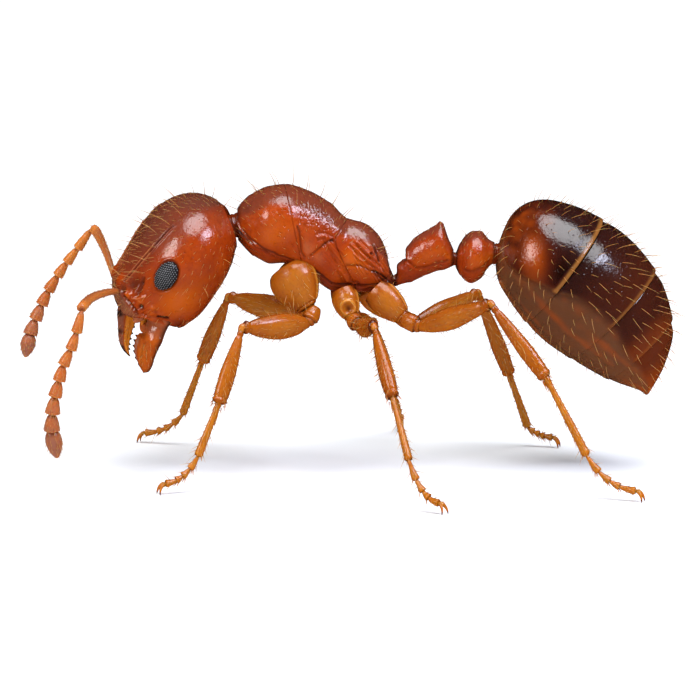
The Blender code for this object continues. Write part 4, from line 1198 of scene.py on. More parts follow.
trunkDetail = {
    "around": 300,
    # where the seams cross the side, from the back's middle (90 degrees) to the underside (-90)
    "frontSeam": {-90: 0.43, -40: 0.411, -15: 0.389, 7: 0.364, 34: 0.339, 74: 0.309, 90: 0.302},
    "backSeam": {-90: 0.76, -44: 0.749, -32: 0.729, -10: 0.689, 0: 0.661, 10: 0.636, 16: 0.628, 35: 0.654,
                 67: 0.69, 90: 0.7},
    "undercut": {0.0: 0.0, 0.03: 0.035, 0.08: 0.075, 0.14: 0.06, 0.22: 0.02, 0.32: 0.012, 0.4: 0.0},
    "collar": ((0.006, 9), (0.024, -3), (0.134, -20), (0.231, -36), (0.261, -44), (0.334, -52), (0.4, -50)),
    "pleura": ((0.47, -22), (0.52, -6), (0.575, 8), (0.61, 14)),
    "coxaEdge": ((0.42, -56), (0.5, -48), (0.6, -52), (0.7, -50), (0.8, -50), (0.92, -40)),
    "metaGroove": ((0.7, -8), (0.78, -6), (0.86, -12), (0.93, -18)),
    "spiracle": (0.852, 16), "lobe": (0.965, -25),
    "rings": {"pronotum": 150, "mesothorax": 200, "propodeum": 190},
    "lines": (   # places along and round, width, height, lip, shade
        # a negative shade is painted shade in a groove, a positive one a painted highlight along a ridge
        (((0.565, 12), (0.597, 7), (0.629, 0), (0.659, -6)), 0.016, 0.018, -0.01, 0.18),
        (((0.655, -15), (0.685, -26), (0.708, -38)), 0.016, 0.018, -0.012, 0.15),
        (((0.715, 25), (0.785, 12), (0.855, 2), (0.912, -2)), 0.011, 0.015, -0.012, 0.1),
        (((0.763, 30), (0.817, 18), (0.865, 9)), 0.011, 0.013, -0.01, 0.1),
        (((0.74, 10), (0.79, 1), (0.84, -6)), 0.009, 0.008, -0.006, 0.0),
        (((0.505, 4), (0.53, 9), (0.56, 13), (0.609, 15)), 0.013, 0.012, -0.01, 0.12),
        (((0.733, -38), (0.771, -50), (0.845, -55), (0.935, -40)), 0.015, 0.012, -0.016, 0.1),
        (((0.857, -9), (0.907, -10), (0.957, -6)), 0.01, -0.014, 0.009, -0.6),
        (((0.383, 10), (0.401, 2), (0.407, -9), (0.411, -22), (0.441, -30)), 0.012, -0.01, 0.006, -0.55),
        (((0.86, 36), (0.885, 22), (0.905, 8)), 0.01, -0.012, 0.01, -0.5)),
    "spots": (   # place, radius, height, shade, tone
        # the warm spots on the sides are painted light
        ((0.655, 37), 0.05, 0.012, 0.0, -0.1), ((0.843, 25), 0.04, 0.012, 0.0, -0.2),
        ((0.811, 2), 0.035, 0.008, 0.0, 0.0), ((0.92, -2), 0.04, 0.014, -0.2, 0.0),
        ((0.27, -2), 0.2, 0.0, 0.0, 0.5), ((0.2, -10), 0.12, 0.0, 0.0, 0.3),
        ((0.579, -16), 0.1, 0.01, 0.0, 0.15), ((0.64, -30), 0.09, 0.006, 0.0, 0.35),
        ((0.53, -4), 0.08, 0.006, -0.1, -0.1), ((0.725, 2), 0.11, 0.01, 0.0, 0.8),
        ((0.8, -12), 0.1, 0.0, 0.0, 0.5), ((0.88, -46), 0.09, 0.0, 0.0, 0.8),
        ((0.965, -10), 0.07, 0.0, -0.6, 0.0), ((0.9, 36), 0.06, 0.0, -0.35, 0.0)),
}
trunkSurface = knotSurface(trunk, 2.2)


def trunkPlaces(places, hand):
    t = np.array([p[0] for p in places], float)
    a = np.radians([p[1] if hand > 0 else 180 - p[1] for p in places])
    return trunkSurface(t, a)


def trunkRelief(grid, tt, aa):
    plan = trunkDetail
    side = sideAngle(aa)
    rise, shade = np.zeros(tt.shape), np.zeros(tt.shape)
    for hand in (1, -1):
        # painted shade in the groove under the collar, along the pleural and coxal edges, in the metanotal
        # groove and in the spiracle, with a painted highlight along the collar's ridge
        d, _ = lineDistance(grid, trunkPlaces(plan["collar"], hand))
        rise += 0.014 * bump(d - 0.004, 0.012) - 0.026 * bump(d - 0.03, 0.018) * (side < np.interp(
            tt, [p[0] for p in plan["collar"]], [p[1] for p in plan["collar"]]))
        shade -= 0.7 * bump(d - 0.026, 0.016) * (side < 0)
        shade += 0.25 * bump(d, 0.01)
        d, _ = lineDistance(grid, trunkPlaces(plan["pleura"], hand))
        rise -= 0.015 * bump(d, 0.012)
        shade -= 0.65 * bump(d, 0.014)
        d, _ = lineDistance(grid, trunkPlaces(plan["coxaEdge"], hand))
        rise += 0.01 * bump(d, 0.012) - 0.02 * bump(d - 0.028, 0.014)
        shade -= 0.6 * bump(d - 0.024, 0.016)
        d, _ = lineDistance(grid, trunkPlaces(plan["metaGroove"], hand))
        rise -= 0.012 * bump(d, 0.012)
        shade -= 0.5 * bump(d, 0.014)
        hole = distance(grid, trunkPlaces((plan["spiracle"],), hand)[0])
        rise += 0.01 * bump(hole - 0.022, 0.008) - 0.014 * bump(hole, 0.012)
        shade -= 0.9 * bump(hole, 0.013)
    y, z = grid[..., 1], grid[..., 2]
    warp = 0.012 * lattice(grid, 7.0, 31)
    stripes = np.sin(2 * np.pi * (0.81 * y + 0.58 * z + warp) / 0.03)
    onBack = ramp(0.735, 0.77, tt) * ramp(0.99, 0.94, tt)
    lined = onBack * ramp(-48, -34, side) * ramp(48, 30, side)
    lined += 0.7 * ramp(0.53, 0.56, tt) * ramp(0.7, 0.66, tt) * ramp(-38, -26, side) \
        * ramp(14, 2, side)
    lined = lined * ramp(-0.1, 0.5, lattice(grid, 6.0, 34))
    rise += 0.006 * lined * stripes
    # painted shade in the troughs of the stripes
    shade -= 0.18 * lined * ramp(-0.1, -0.8, stripes)
    wrinkled = ramp(0.36, 0.42, tt) * ramp(0.66, 0.6, tt) * ramp(4, 14, side) \
        * ramp(62, 44, side)
    net = np.abs(lattice(grid, 32.0, 41)) + 0.5 * np.abs(lattice(grid, 55.0, 42))
    wrinkled = np.maximum(wrinkled, 0.8 * ramp(0.84, 0.9, tt) * ramp(-30, -5, side))
    rise -= (0.005 * wrinkled + 0.0018 * ramp(10, -10, side)) * ramp(0.45, 0.02, net)
    # painted shade in the troughs of the wrinkles and painted highlights on their crests; the wrinkled patch
    # is also drawn darker
    shade -= 0.16 * wrinkled * ramp(0.3, 0.05, net)
    shade += 0.15 * wrinkled * ramp(0.62, 0.8, net) - 0.22 * wrinkled
    band = ramp(0.4, 0.44, tt) * ramp(0.6, 0.52, tt) * bump(side + 14, 14)
    shade += 0.3 * band
    rise += 0.0045 * lattice(grid, 5.0, 32) + 0.0016 * lattice(grid, 16.0, 33)
    more, light, tone = addFeatures(grid, trunkSurface, plan["lines"], plan["spots"])
    # painted light and shade: the sides stay warm while the back and the underside are painted duskier and
    # darker
    upper = ramp(16, 44, side + 8 * lattice(grid, 4.0, 35))
    tone -= 0.7 * upper + 0.45 * ramp(-40, -75, side)
    shade -= 0.3 * ramp(-45, -80, side)
    rise -= keyed(plan["undercut"], tt) * ramp(-16, -50, side)
    return rise + more, shade + light, tone


def frontSeam(a):
    return keyed(trunkDetail["frontSeam"], sideAngle(a))


def backSeam(a):
    return keyed(trunkDetail["backSeam"], sideAngle(a))


def rollOver(edge, width):
    # how far a plate's edge has dropped at each distance from it, as a quarter circle
    return 1 - np.sqrt(np.clip(1 - (1 - np.clip(edge / width, 0, 1)) ** 2, 0, 1))


def buildTrunk():
    plan = trunkDetail
    parts = {"pronotum": (0.004, frontSeam), "mesothorax": (frontSeam, backSeam),
             "propodeum": (backSeam, 0.997)}      # each plate's front and back edge
    skins = {}
    for name, (low, high) in parts.items():
        domed = (name == "pronotum", name == "propodeum")
        grid, tt, aa = plateGrid(trunkSurface, plan["rings"][name], plan["around"], low, high, domed)
        normals = gridNormals(grid)
        rise, shade, tone = trunkRelief(grid, tt, aa)
        # painted shade along each seam where the plates meet, at the pronotum's front by the neck and at the
        # propodeum's back by the waist
        if name != "pronotum":
            edge = rimDistance(grid, 0)
            rise -= 0.008 * rollOver(edge, 0.02)
            shade -= 0.3 * ramp(0.02, 0.0, edge)
        if name != "propodeum":
            edge = rimDistance(grid, -1)
            rise -= 0.006 * rollOver(edge, 0.018)
            shade -= 0.3 * ramp(0.018, 0.0, edge)
        if name == "pronotum":
            shade -= 0.7 * ramp(0.05, 0.0, tt)
        if name == "propodeum":
            shade -= 0.55 * ramp(0.955, 0.99, tt)
            lobes = [trunkPlaces((plan["lobe"],), hand)[0] for hand in (1, -1)]
            rise += 0.022 * bump(np.minimum(*[distance(grid, lobe) for lobe in lobes]), 0.05)
        grid = grid + normals * rise[..., None]
        normals = gridNormals(grid)
        back = np.interp(tt, (0.0, 0.45, 0.75, 1.0), (-0.75, -0.15, 0.55, 0.8))
        lean = np.stack([0 * tt, back, 0.4 + 0 * tt], -1)
        top = ramp(10, 45, sideAngle(aa))
        marks = bareMarks(shade, tone, lean, normals)
        marks["longHair"], marks["shortHair"] = top, 0.55 * ramp(-60, 10, sideAngle(aa))
        poles = [None, None]
        for end, whole in ((0, "pronotum"), (-1, "propodeum")):
            # an edge at a seam is tucked in; an outer end is carried on to a small cap
            inset, depth, dark = (0.05, -0.012, 0.0) if name == whole else (0.006, 0.003, -0.3)
            grid, poles[end] = tuck(grid, end, inset, depth, dark, marks)
        skins[name] = settle(oneShell(name + "Shell", grid, poles, marks), "trunk", name)
    return skins


trunkSkins = buildTrunk()
print("trunk built")


waistDetail = {
    "around": 120, "rings": 150, "crest": 0.006, "peak": 0.024, "peakPlace": 0.765, "grooveSide": -26,
    "crease": ((0.15, 85), (0.17, 45), (0.25, 5), (0.36, -22), (0.55, -34), (0.75, -32), (0.9, -22)),
}


def buildKnot(name, plan, rough):
    surface = knotSurface(plan, 2.0)
    grid, tt, aa = plateGrid(surface, waistDetail["rings"], waistDetail["around"], 0.002, 0.998, (True, True))
    normals = gridNormals(grid)
    side = sideAngle(aa)
    # painted shade at both ends, where the knot meets its neighbours
    shade = -0.75 * ramp(0.1, 0.0, tt) - 0.75 * ramp(0.9, 1.0, tt)
    rise = 0.004 * lattice(grid, 7.0, rough) + 0.0018 * lattice(grid, 19.0, rough + 1)
    if name == "petiole":
        crest = ramp(0.3, 0.55, tt) * ramp(0.93, 0.84, tt)
        rise += waistDetail["crest"] * crest * bump(side - 90, 26)
        rise += waistDetail["peak"] * bump(tt - waistDetail["peakPlace"], 0.035) * bump(side - 90, 22)
        for hand in (1, -1):
            places = np.array(waistDetail["crease"], float)
            angles = np.radians(places[:, 1] if hand > 0 else 180 - places[:, 1])
            d, _ = lineDistance(grid, surface(places[:, 0], angles))
            rise += -0.011 * bump(d, 0.013) + 0.005 * bump(d - 0.026, 0.012)
            # painted shade in the crease
            shade -= 0.32 * bump(d, 0.014)
        rise += 0.03 * bump(tt - 0.085, 0.035) * ramp(10, 60, side)
        rise -= 0.022 * bump(tt - 0.155, 0.028) * ramp(20, 70, side)
        rise += 0.016 * bump(tt - 0.215, 0.035) * ramp(20, 70, side)
    else:
        groove = ramp(0.12, 0.25, tt) * ramp(0.92, 0.8, tt)
        rise += groove * (-0.014 * bump(side - waistDetail["grooveSide"], 5)
                          + 0.006 * bump(side - waistDetail["grooveSide"] - 9, 5))
        # painted shade in the groove
        shade -= 0.4 * groove * bump(side - waistDetail["grooveSide"], 6)
        rise -= 0.006 * bump(tt - 0.14, 0.03)
    # painted light and shade: the sides are painted warm while the top and the underside are painted duskier
    # and darker
    shade -= 0.25 * ramp(-20, -70, side)
    tone = 0.55 * bump(side + 4, 22) * ramp(0.2, 0.4, tt) - 0.65 * ramp(30, 65, side) \
        - 0.35 * ramp(-30, -65, side)
    grid = grid + normals * rise[..., None]
    normals = gridNormals(grid)
    marks = bareMarks(shade, tone, (0.0, 0.4, 0.5), normals)
    marks["longHair"] = ramp(10, 45, side) * ramp(0.25, 0.4, tt) + 0.12 * ramp(-20, -60, side)
    marks["shortHair"] = 0.6 * ramp(0.1, 0.25, tt) * ramp(0.95, 0.85, tt)
    poles = [None, None]
    for end in (0, -1):
        grid, poles[end] = tuck(grid, end, 0.03, -0.008, -0.2, marks)
    return settle(oneShell(name + "Shell", grid, poles, marks), "waist", name)


waistSkins = {"petiole": buildKnot("petiole", petiole, 51),
              "postpetiole": buildKnot("postpetiole", postpetiole, 61)}

necks = {   # soft joints between the hard pieces: path and radii
    "neck": (((0.02, -1.285, 2.43), (0.01, -1.19, 2.42), (0.0, -1.08, 2.43)), (0.085, 0.115, 0.13)),
    "trunkToWaist": (((0.0, 0.38, 1.875), (0.0, 0.44, 1.865), (0.0, 0.5, 1.9)), (0.055, 0.052, 0.058)),
    "knotToKnot": (((0.0, 1.0, 2.105), (0.0, 1.045, 2.09), (0.0, 1.09, 2.085)), (0.062, 0.064, 0.066)),
    "waistToGaster": (((0.0, 1.4, 2.15), (0.0, 1.455, 2.14), (0.0, 1.54, 2.135)), (0.1, 0.108, 0.15)),
}


def buildNecks():
    shell = Shell()
    for path, radii in necks.values():
        k = np.linspace(0, 1, 40)
        line = smoothPath(path, 40)
        radii = np.interp(k, np.linspace(0, 1, len(radii)), radii)
        radii = radii * (1 + 0.035 * np.sin(k * 8 * np.pi)) * blunt(k, 0.06, 0.06)
        grid, _, _ = sweep(line, radii, 40)
        shell.add(grid, (line[0], line[-1]), evenMarks(grid, shade=-0.55))
    return settle(shell.build("softJoints"), "waist")


buildNecks()
print("waist built")


gasterDetail = {
    "around": 200, "rings": {1: 170, 2: 120, 3: 90, 4: 80},
    "beltLine": {0.0: -60, 0.12: -48, 0.22: -30, 0.33: -17, 0.41: -11, 0.53: -4, 0.65: -5, 0.8: -10,
                 1.0: -14},
    "rimWidth": 0.052, "rimShade": 0.55, "rimFade": (1, 0.72, 0.45), "step": 0.018, "halfWidth": 0.66,
    "glowPlace": (1.8, 2.15), "glowSize": (0.115, 0.25), "darkPlace": (2.1, 2.02), "darkSize": (0.17, 0.22),
}


def ringEdge(plane, ahead):
    # the edge of a plate, a little ahead of where the gaster meets a ring's plane
    def edge(a):
        return crossing(gasterSurface, a, *plane) - ahead
    return edge


def buildGaster():
    plan = gasterDetail
    planes = []
    for place, lean in gaster["rings"]:
        turned = Matrix.Rotation(math.radians(lean), 3, Vector((1, 0, 0))) @ Vector(gasterAxis)
        planes.append((gasterFront + (gasterTip - gasterFront) * place, np.array(turned)))
    skins = []
    for i in range(4):
        low = ringEdge(planes[i - 1], 0.006) if i > 0 else 2e-4
        high = ringEdge(planes[i], 0.002) if i < 3 else 1 - 2e-4
        domed = (i == 0, i == 3)
        grid, tt, aa = plateGrid(gasterSurface, plan["rings"][i + 1], plan["around"], low, high, domed)
        normals = gridNormals(grid)
        side = sideAngle(aa)
        # about how many millimetres above the line where the plates end and the belly starts
        above = (side - keyed(plan["beltLine"], tt)) * math.pi / 180 * plan["halfWidth"]
        above = above + 0.03 * lattice(grid, 4.5, 70)
        belly = ramp(0.07, -0.085, above)
        crease = ramp(0.5, 0.36, tt)      # the plate's lower edge fades out towards the tip
        rise = (0.006 * ramp(-0.01, 0.01, above) - 0.008 * bump(above + 0.016, 0.018)) * crease
        # painted highlight on the plate's lower edge and painted shade in the crease below it
        shade = (0.3 * bump(above - 0.01, 0.022) - 0.4 * bump(above + 0.026, 0.022)) * crease
        if i > 0:
            edge = rimDistance(grid, 0)
            step = plan["step"] * ramp(0.16, 0.0, edge) + 0.012 * ramp(0.03, 0.0, edge)
            rise -= step * (1 - 0.7 * belly)
            # painted shade along the front edge, under the margin of the plate ahead
            shade -= 0.35 * ramp(0.05, 0.0, edge)
        if i < 3:
            edge = rimDistance(grid, -1)
            rise += 0.005 * ramp(0.09, 0.02, edge)
            rise -= 0.006 * rollOver(edge, 0.012)
            width = plan["rimWidth"] * (1 + 0.25 * lattice(grid, 3.0, 71))
            rim = plan["rimShade"] * plan["rimFade"][i] * ramp(width * 1.25, width * 0.45, edge)
            shade += rim * (1 - 0.45 * belly)
        warm = 0.25 * lattice(grid, 2.2, 81)
        rise += 0.003 * lattice(grid, 2.6, 72) + 0.0011 * lattice(grid, 11.0, 73)
        grid = grid + normals * rise[..., None]
        normals = gridNormals(grid)
        if i == 0:
            front = ramp(0.19, 0.04, tt + 0.002 * np.maximum(side, 0) + 0.05 * lattice(grid, 5.0, 74))
            glow = 0.42 * front * (0.75 + 0.8 * lattice(grid, 14.0, 83))
            spot, deep = (np.hypot((grid[..., 1] - plan[place][0]) / plan[size][0],
                                   (grid[..., 2] - plan[place][1]) / plan[size][1])
                          for place, size in (("glowPlace", "glowSize"), ("darkPlace", "darkSize")))
            below = ramp(0.55, 0.3, np.abs(side - 5) / 90)
            ember = (0.8 + 0.3 * lattice(grid, 9.0, 82)) * bump(spot, 1.0) * (1 - belly) * below
            glow = np.maximum(glow, ember)
            glow = glow * (1 - 0.9 * bump(deep, 1.0))
            shade = shade - 0.75 * bump(deep, 0.85) * (1 - belly) * (edge > plan["rimWidth"] * 1.2)
            warm = 0.9 * bump(spot, 2.4)
            # painted shade at the front end, where the gaster meets the waist
            shade = shade - 0.6 * ramp(0.012, 0.0, tt)
        elif i == 3:
            glow = 0.55 * ramp(0.86, 1.0, tt) + 0.26
            shade = shade + 0.5 * ramp(0.965, 0.995, tt)
        elif i == 2:
            glow = 0.26 * ramp(0.7, 0.8, tt) * ramp(70, 20, np.abs(side - 20)) + 0.06
        else:
            glow = 0.1 * ramp(0.3, 0.6, tt) + 0 * tt
        along = grid @ gasterAxis       # long soft streaks down the paler underside
        warped = np.stack([grid[..., 0] * 0.8, along * 0.35, side * 0.035], -1)
        light = 0.1 + 0.42 * lattice(warped, 4.0, 77) + 0.15 * lattice(grid, 12.0, 78)
        dull = 0.3 * lattice(warped, 5.0, 79) + 0.12 * lattice(grid, 9.0, 80)
        shade = shade - belly * np.clip(dull, 0, 0.4)
        glow = glow * (0.85 + 0.25 * lattice(grid, 4.0, 76)) * (1 - 0.7 * belly)
        marks = bareMarks(shade, np.clip(warm, 0, 1), gasterAxis, normals)
        marks["belly"] = belly * (0.92 + 0.08 * lattice(grid, 6.0, 75))
        marks["glow"] = np.clip(glow + belly * np.clip(light, 0, 0.5), 0, 1)
        marks["longHair"], marks["shortHair"] = 0.75 + 0.25 * (1 - belly), 0.5 + 0 * tt
        marks["hairLength"] = np.interp(side, (-70, -10, 30, 90), (0.55, 0.72, 0.85, 1.05))
        if i > 0:
            marks["longHair"] *= ramp(0.04, 0.1, rimDistance(grid, 0))
        poles = [None, None]
        for end, outer in ((0, 0), (-1, 3)):
            if i == outer:
                poles[end] = grid[end].mean(axis=0)
            else:
                grid, poles[end] = tuck(grid, end, 0.014, 0.03, -1.0, marks)
        plate = oneShell("gasterPlate%d" % (i + 1), grid, poles, marks)
        skins.append(settle(plate, "gaster", "gaster_%d" % (i + 1)))
    return skins


gasterSkins = buildGaster()
print("gaster built")


legs = {   # coxa ends and radius, then the joints from the body to the claws
    "foreLeft": (((0.17, -0.65, 2.05), (0.31, -0.394, 1.65)), 0.216,
                 ((0.31, -0.35, 1.63), (0.38, -0.415, 1.505), (0.8, -1.053, 1.52), (1.05, -1.285, 0.796),
                  (1.2, -1.482, 0.308), (1.35, -1.86, floorLevel))),
    "foreRight": (((-0.17, -0.59, 2.03), (-0.31, -0.405, 1.65)), 0.19,
                  ((-0.31, -0.415, 1.635), (-0.38, -0.485, 1.49), (-0.86, -1.238, 1.585),
                   (-1.15, -1.524, 0.863), (-1.35, -1.737, 0.28), (-1.5, -2.2, floorLevel))),
    "midLeft": (((0.235, -0.075, 1.8), (0.345, 0.01, 1.56)), 0.155,
                ((0.36, 0.02, 1.545), (0.46, 0.08, 1.49), (1.24, 0.232, 1.596), (1.68, 0.412, 0.96),
                 (2.08, 0.563, 0.43), (2.34, 0.9, floorLevel))),
    "midRight": (((-0.235, -0.085, 1.78), (-0.345, -0.005, 1.53)), 0.155,
                 ((-0.36, 0.005, 1.515), (-0.45, 0.04, 1.43), (-1.2, 0.247, 1.25), (-1.68, 0.39, 0.6),
                  (-2.1, 0.515, 0.16), (-2.47, 0.545, floorLevel))),
    "hindLeft": (((0.225, 0.255, 1.8), (0.335, 0.52, 1.555)), 0.158,
                 ((0.35, 0.535, 1.54), (0.45, 0.69, 1.475), (0.98, 1.368, 1.783), (1.28, 1.905, 1.091),
                  (1.52, 2.29, 0.372), (1.72, 2.82, floorLevel))),
    "hindRight": (((-0.225, 0.175, 1.77), (-0.335, 0.455, 1.485)), 0.16,
                  ((-0.35, 0.475, 1.47), (-0.45, 0.65, 1.365), (-1.0, 1.309, 1.605), (-1.17, 1.649, 0.714),
                   (-1.27, 1.841, 0.158), (-1.18, 2.16, floorLevel))),
}
legDetail = {
    "femur": {"fore": 0.129, "mid": 0.097, "hind": 0.112},
    "tibia": {"fore": 0.088, "mid": 0.09, "hind": 0.08},
    "coxaShape": {"fore": {0.0: 0.7, 0.02: 0.8, 0.06: 0.9, 0.12: 0.97, 0.2: 1.03, 0.36: 1.05, 0.57: 0.94,
                           0.8: 0.69, 0.93: 0.5, 1.0: 0.36},
                  "mid": {0.0: 0.78, 0.15: 0.88, 0.33: 0.92, 0.57: 0.84, 0.8: 0.66, 0.93: 0.5, 1.0: 0.36},
                  "hind": {0.0: 0.78, 0.15: 0.88, 0.33: 0.92, 0.57: 0.84, 0.8: 0.66, 0.93: 0.5, 1.0: 0.36}},
    "coxaShift": {"fore": {0.0: 0.0, 0.57: -0.004, 0.82: -0.014, 1.0: -0.035},
                  "mid": {0.0: 0.0, 1.0: 0.0}, "hind": {0.0: 0.0, 1.0: 0.0}},
    "coxaSize": {"fore": 1.1, "mid": 1.05, "hind": 1.12},
    "coxaRise": {"fore": 0.0, "mid": 0.1, "hind": 0.1},
    "coxaShade": {"fore": 0.15, "mid": 0.45, "hind": 0.45},
    "spur": {"fore": (0.17, 0.0105), "mid": (0.1, 0.008), "hind": (0.1, 0.008)},      # length and thickness
    "farPaler": 0.12, "tarsomeres": (0.29, 0.23, 0.19, 0.29),
    "clawReach": 0.07, "clawSpread": 0.045, "toeHeight": 0.105, "spineLength": 0.055, "spineThick": 0.0055,
    "spineShade": 0.15, "clawShare": {"midRight": 0.4},
    "toe": {0.0: 0.014, 0.12: 0.018, 0.5: 0.027, 0.85: 0.038, 0.95: 0.037, 1.0: 0.026},
    "lastToe": {0.0: 0.016, 0.1: 0.02, 0.35: 0.026, 0.7: 0.034, 0.9: 0.038, 1.0: 0.032},
}


def limbGrid(start, end, radii, rings, count, flatness, bend, trims):
    start, end = np.array(start, float), np.array(end, float)
    along = unit(end - start)
    first = start + along * (trims[0] + radii[0.0] * 0.15)
    last = end - along * (trims[1] + radii[1.0] * 0.15)
    k = 0.5 - 0.5 * np.cos(np.pi * np.linspace(0, 1, rings))
    path = first + (last - first) * k[:, None] + np.array((0, 0, bend)) * np.sin(np.pi * k)[:, None]
    size = keyed(radii, k) * blunt(k, 0.02, 0.02, 0.0006)
    grid, normals, _ = sweep(path, size, count, flatness)
    return grid, normals, k, path


def limbMarks(normals, shade, along, shortHair, longHair=0.0):
    # painted shade: the front, rear, upper and lower faces are darker than the flanks, and the flanks are
    # painted lighter
    edge = np.clip(normals[..., 1] ** 2 + normals[..., 2] ** 2, 0, 1) ** 2
    full = np.zeros(edge.shape)
    value = shade + 0.2 - 0.66 * edge - 0.14 * np.abs(normals[..., 2]) ** 2
    return {"shade": np.clip(value, -1, 1), "lie": unit(along) * np.ones(normals.shape),
            "shortHair": full + shortHair, "longHair": full + longHair, "hairLength": full + 1.0}


def addLimb(shell, grid, path, marks):
    shell.add(grid, (path[0], path[-1]), marks)


def lightenFarSide(shell, name):
    # painted light: the right legs are drawn a touch paler
    if name.endswith("Right"):
        shell.marks["shade"] = [np.clip(values + legDetail["farPaler"], -1, 1)
                                for values in shell.marks["shade"]]


def buildLeg(name, coxa, hipRadius, joints):
    plan = legDetail
    kind, hand = name.replace("Left", "").replace("Right", ""), 1.0 if name.endswith("Left") else -1.0
    socket, hip, knee, ankle, heel = (np.array(p, float) for p in joints[:5])
    thigh, shin = plan["femur"][kind], plan["tibia"][kind]
    outward = np.array((hand, 0, 0))
    shell = Shell()
    # coxa: a swollen drop with a raised keel down its outer face and a dark rim at its mouth
    radii = {place: share * hipRadius * plan["coxaSize"][kind]
             for place, share in plan["coxaShape"][kind].items()}
    top, bottom = np.array(coxa[0]), np.array(coxa[1])
    top = top + (top - bottom) * plan["coxaRise"][kind]
    grid, normals, k, path = limbGrid(top, bottom, radii, 90, 72, 0.82, 0.0, (0.0, -0.03))
    shift = np.array((0, 1.0, 0)) * keyed(plan["coxaShift"][kind], k)[:, None]
    grid, path = grid + shift[:, None], path + shift
    facing = normals @ unit(np.cross(bottom - top, (1.0, 0, 0)))
    edge = np.abs(facing)
    keel = bump(facing + 0.95, 0.05) + 0.4 * bump(facing - 0.97, 0.04)
    keel = keel * ramp(0.1, 0.25, k)[:, None] * ramp(0.97, 0.88, k)[:, None]
    rise = 0.008 * keel - 0.004 * bump(edge - 0.93, 0.03) + 0.003 * lattice(grid, 7.0, 81)
    rise = rise - 0.006 * bump(k - 0.93, 0.014)[:, None] + 0.006 * bump(k - 0.965, 0.014)[:, None]
    grid = grid + normals * rise[..., None]
    # painted shade on the coxa's top, where it runs in under the body
    shade = (-plan["coxaShade"][kind] * ramp(0.3, 0.12, k) - 0.5 * bump(k - 0.93, 0.02)
             - 0.3 * ramp(0.97, 1.0, k))
    if kind == "mid":      # a ringed hollow where the socket faces outwards
        middle = path[int(0.55 * len(path))] + outward * radii[0.33]
        reach = distance(grid, middle)
        grid = grid + normals * (0.02 * bump(reach - 0.078, 0.018) - 0.036 * bump(reach, 0.048))[..., None]
        # painted shade in the hollow
        shade = shade[:, None] - 1.5 * bump(reach, 0.048) + 0.5 * bump(reach - 0.082, 0.018)
    else:
        shade = shade[:, None]
    marks = limbMarks(normals, shade, coxa[1] - np.array(coxa[0]),
                      0.35 * ramp(0.1, 0.3, k)[:, None], 0.3 * ramp(0.3, 0.6, k)[:, None])
    marks["shade"] = np.clip(marks["shade"] + 0.1 + 1.0 * keel - 0.35 * bump(facing + 0.84, 0.04), -1, 1)
    addLimb(shell, grid, path, marks)
    # trochanter: a short ringed joint
    radii = {0.0: 0.06, 0.2: 0.078, 0.5: 0.09, 0.8: 0.076, 1.0: 0.058}
    grid, normals, k, path = limbGrid(socket, hip, radii, 44, 36, 0.9, 0.0, (-0.03, -0.02))
    ring = 0.008 * bump(k - 0.7, 0.05) - 0.008 * bump(k - 0.82, 0.04)
    grid = grid + normals * ring[:, None, None]
    shade = -0.5 * ramp(0.25, 0.0, k) - 0.55 * bump(k - 0.82, 0.06)
    addLimb(shell, grid, path, limbMarks(normals, shade[:, None], hip - socket, 0.3))
    # femur: a long spindle that ends in two cheeks round the knee
    radii = {0.0: 0.05, 0.05: 0.06, 0.2: thigh * 0.82, 0.45: thigh, 0.75: thigh * 0.75, 0.92: 0.06,
             0.97: 0.057, 1.0: 0.042}
    grid, normals, k, path = limbGrid(hip, knee, radii, 110, 48, 0.78, -0.018, (-0.02, 0.0))
    rise = 0.01 * bump(k - 0.955, 0.022) - 0.007 * bump(k - 0.9, 0.022)
    rise = rise[:, None] + 0.0026 * lattice(grid, 6.0, 82)
    grid = grid + normals * rise[..., None]
    shade = -0.5 * ramp(0.1, 0.0, k) - 0.42 * ramp(0.88, 0.99, k)
    light = 0.16 * bump(k - 0.5, 0.3)
    addLimb(shell, grid, path, limbMarks(
        normals, (shade + light)[:, None], knee - hip, 0.9 * ramp(0.03, 0.1, k)[:, None],
        (0.3 + 0.6 * ramp(-0.2, -0.7, normals[..., 2])) * ramp(0.08, 0.15, k)[:, None]))
    # knee: a small pale ball and hinge between the cheeks
    bend = unit(unit(hip - knee) + unit(ankle - knee))
    k = np.linspace(0, 1, 30)
    start, end = knee + unit(hip - knee) * 0.035, knee + unit(ankle - knee) * 0.055
    path = smoothPath((start, knee - bend * 0.006, end), 30)
    grid, normals, _ = sweep(path, 0.034 * blunt(k, 0.3, 0.3), 24)
    addLimb(shell, grid, path, limbMarks(normals, 0.3 + 0 * k[:, None], ankle - knee, 0.0))
    # tibia: narrow below the knee, widest two thirds down, cut square at its end
    radii = {0.0: 0.026, 0.05: 0.038, 0.12: 0.044, 0.35: shin * 0.8, 0.65: shin, 0.88: shin * 0.92,
             0.965: shin * 0.84, 1.0: 0.05}
    grid, normals, k, path = limbGrid(knee, ankle, radii, 110, 48, 0.8, 0.0, (0.02, 0.0))
    rise = 0.006 * bump(k - 0.955, 0.018) - 0.004 * bump(k - 0.915, 0.018) - 0.008 * bump(k - 0.09, 0.02)
    rise = rise[:, None] + 0.0022 * lattice(grid, 7.0, 83)
    grid = grid + normals * rise[..., None]
    shade = -0.5 * ramp(0.13, 0.0, k) - 0.35 * ramp(0.93, 1.0, k) + 0.04 * bump(k - 0.6, 0.3) - 0.06
    addLimb(shell, grid, path, limbMarks(
        normals, shade[:, None], ankle - knee, 1.0 * ramp(0.05, 0.12, k)[:, None],
        0.9 * ramp(0.12, 0.3, k)[:, None]))
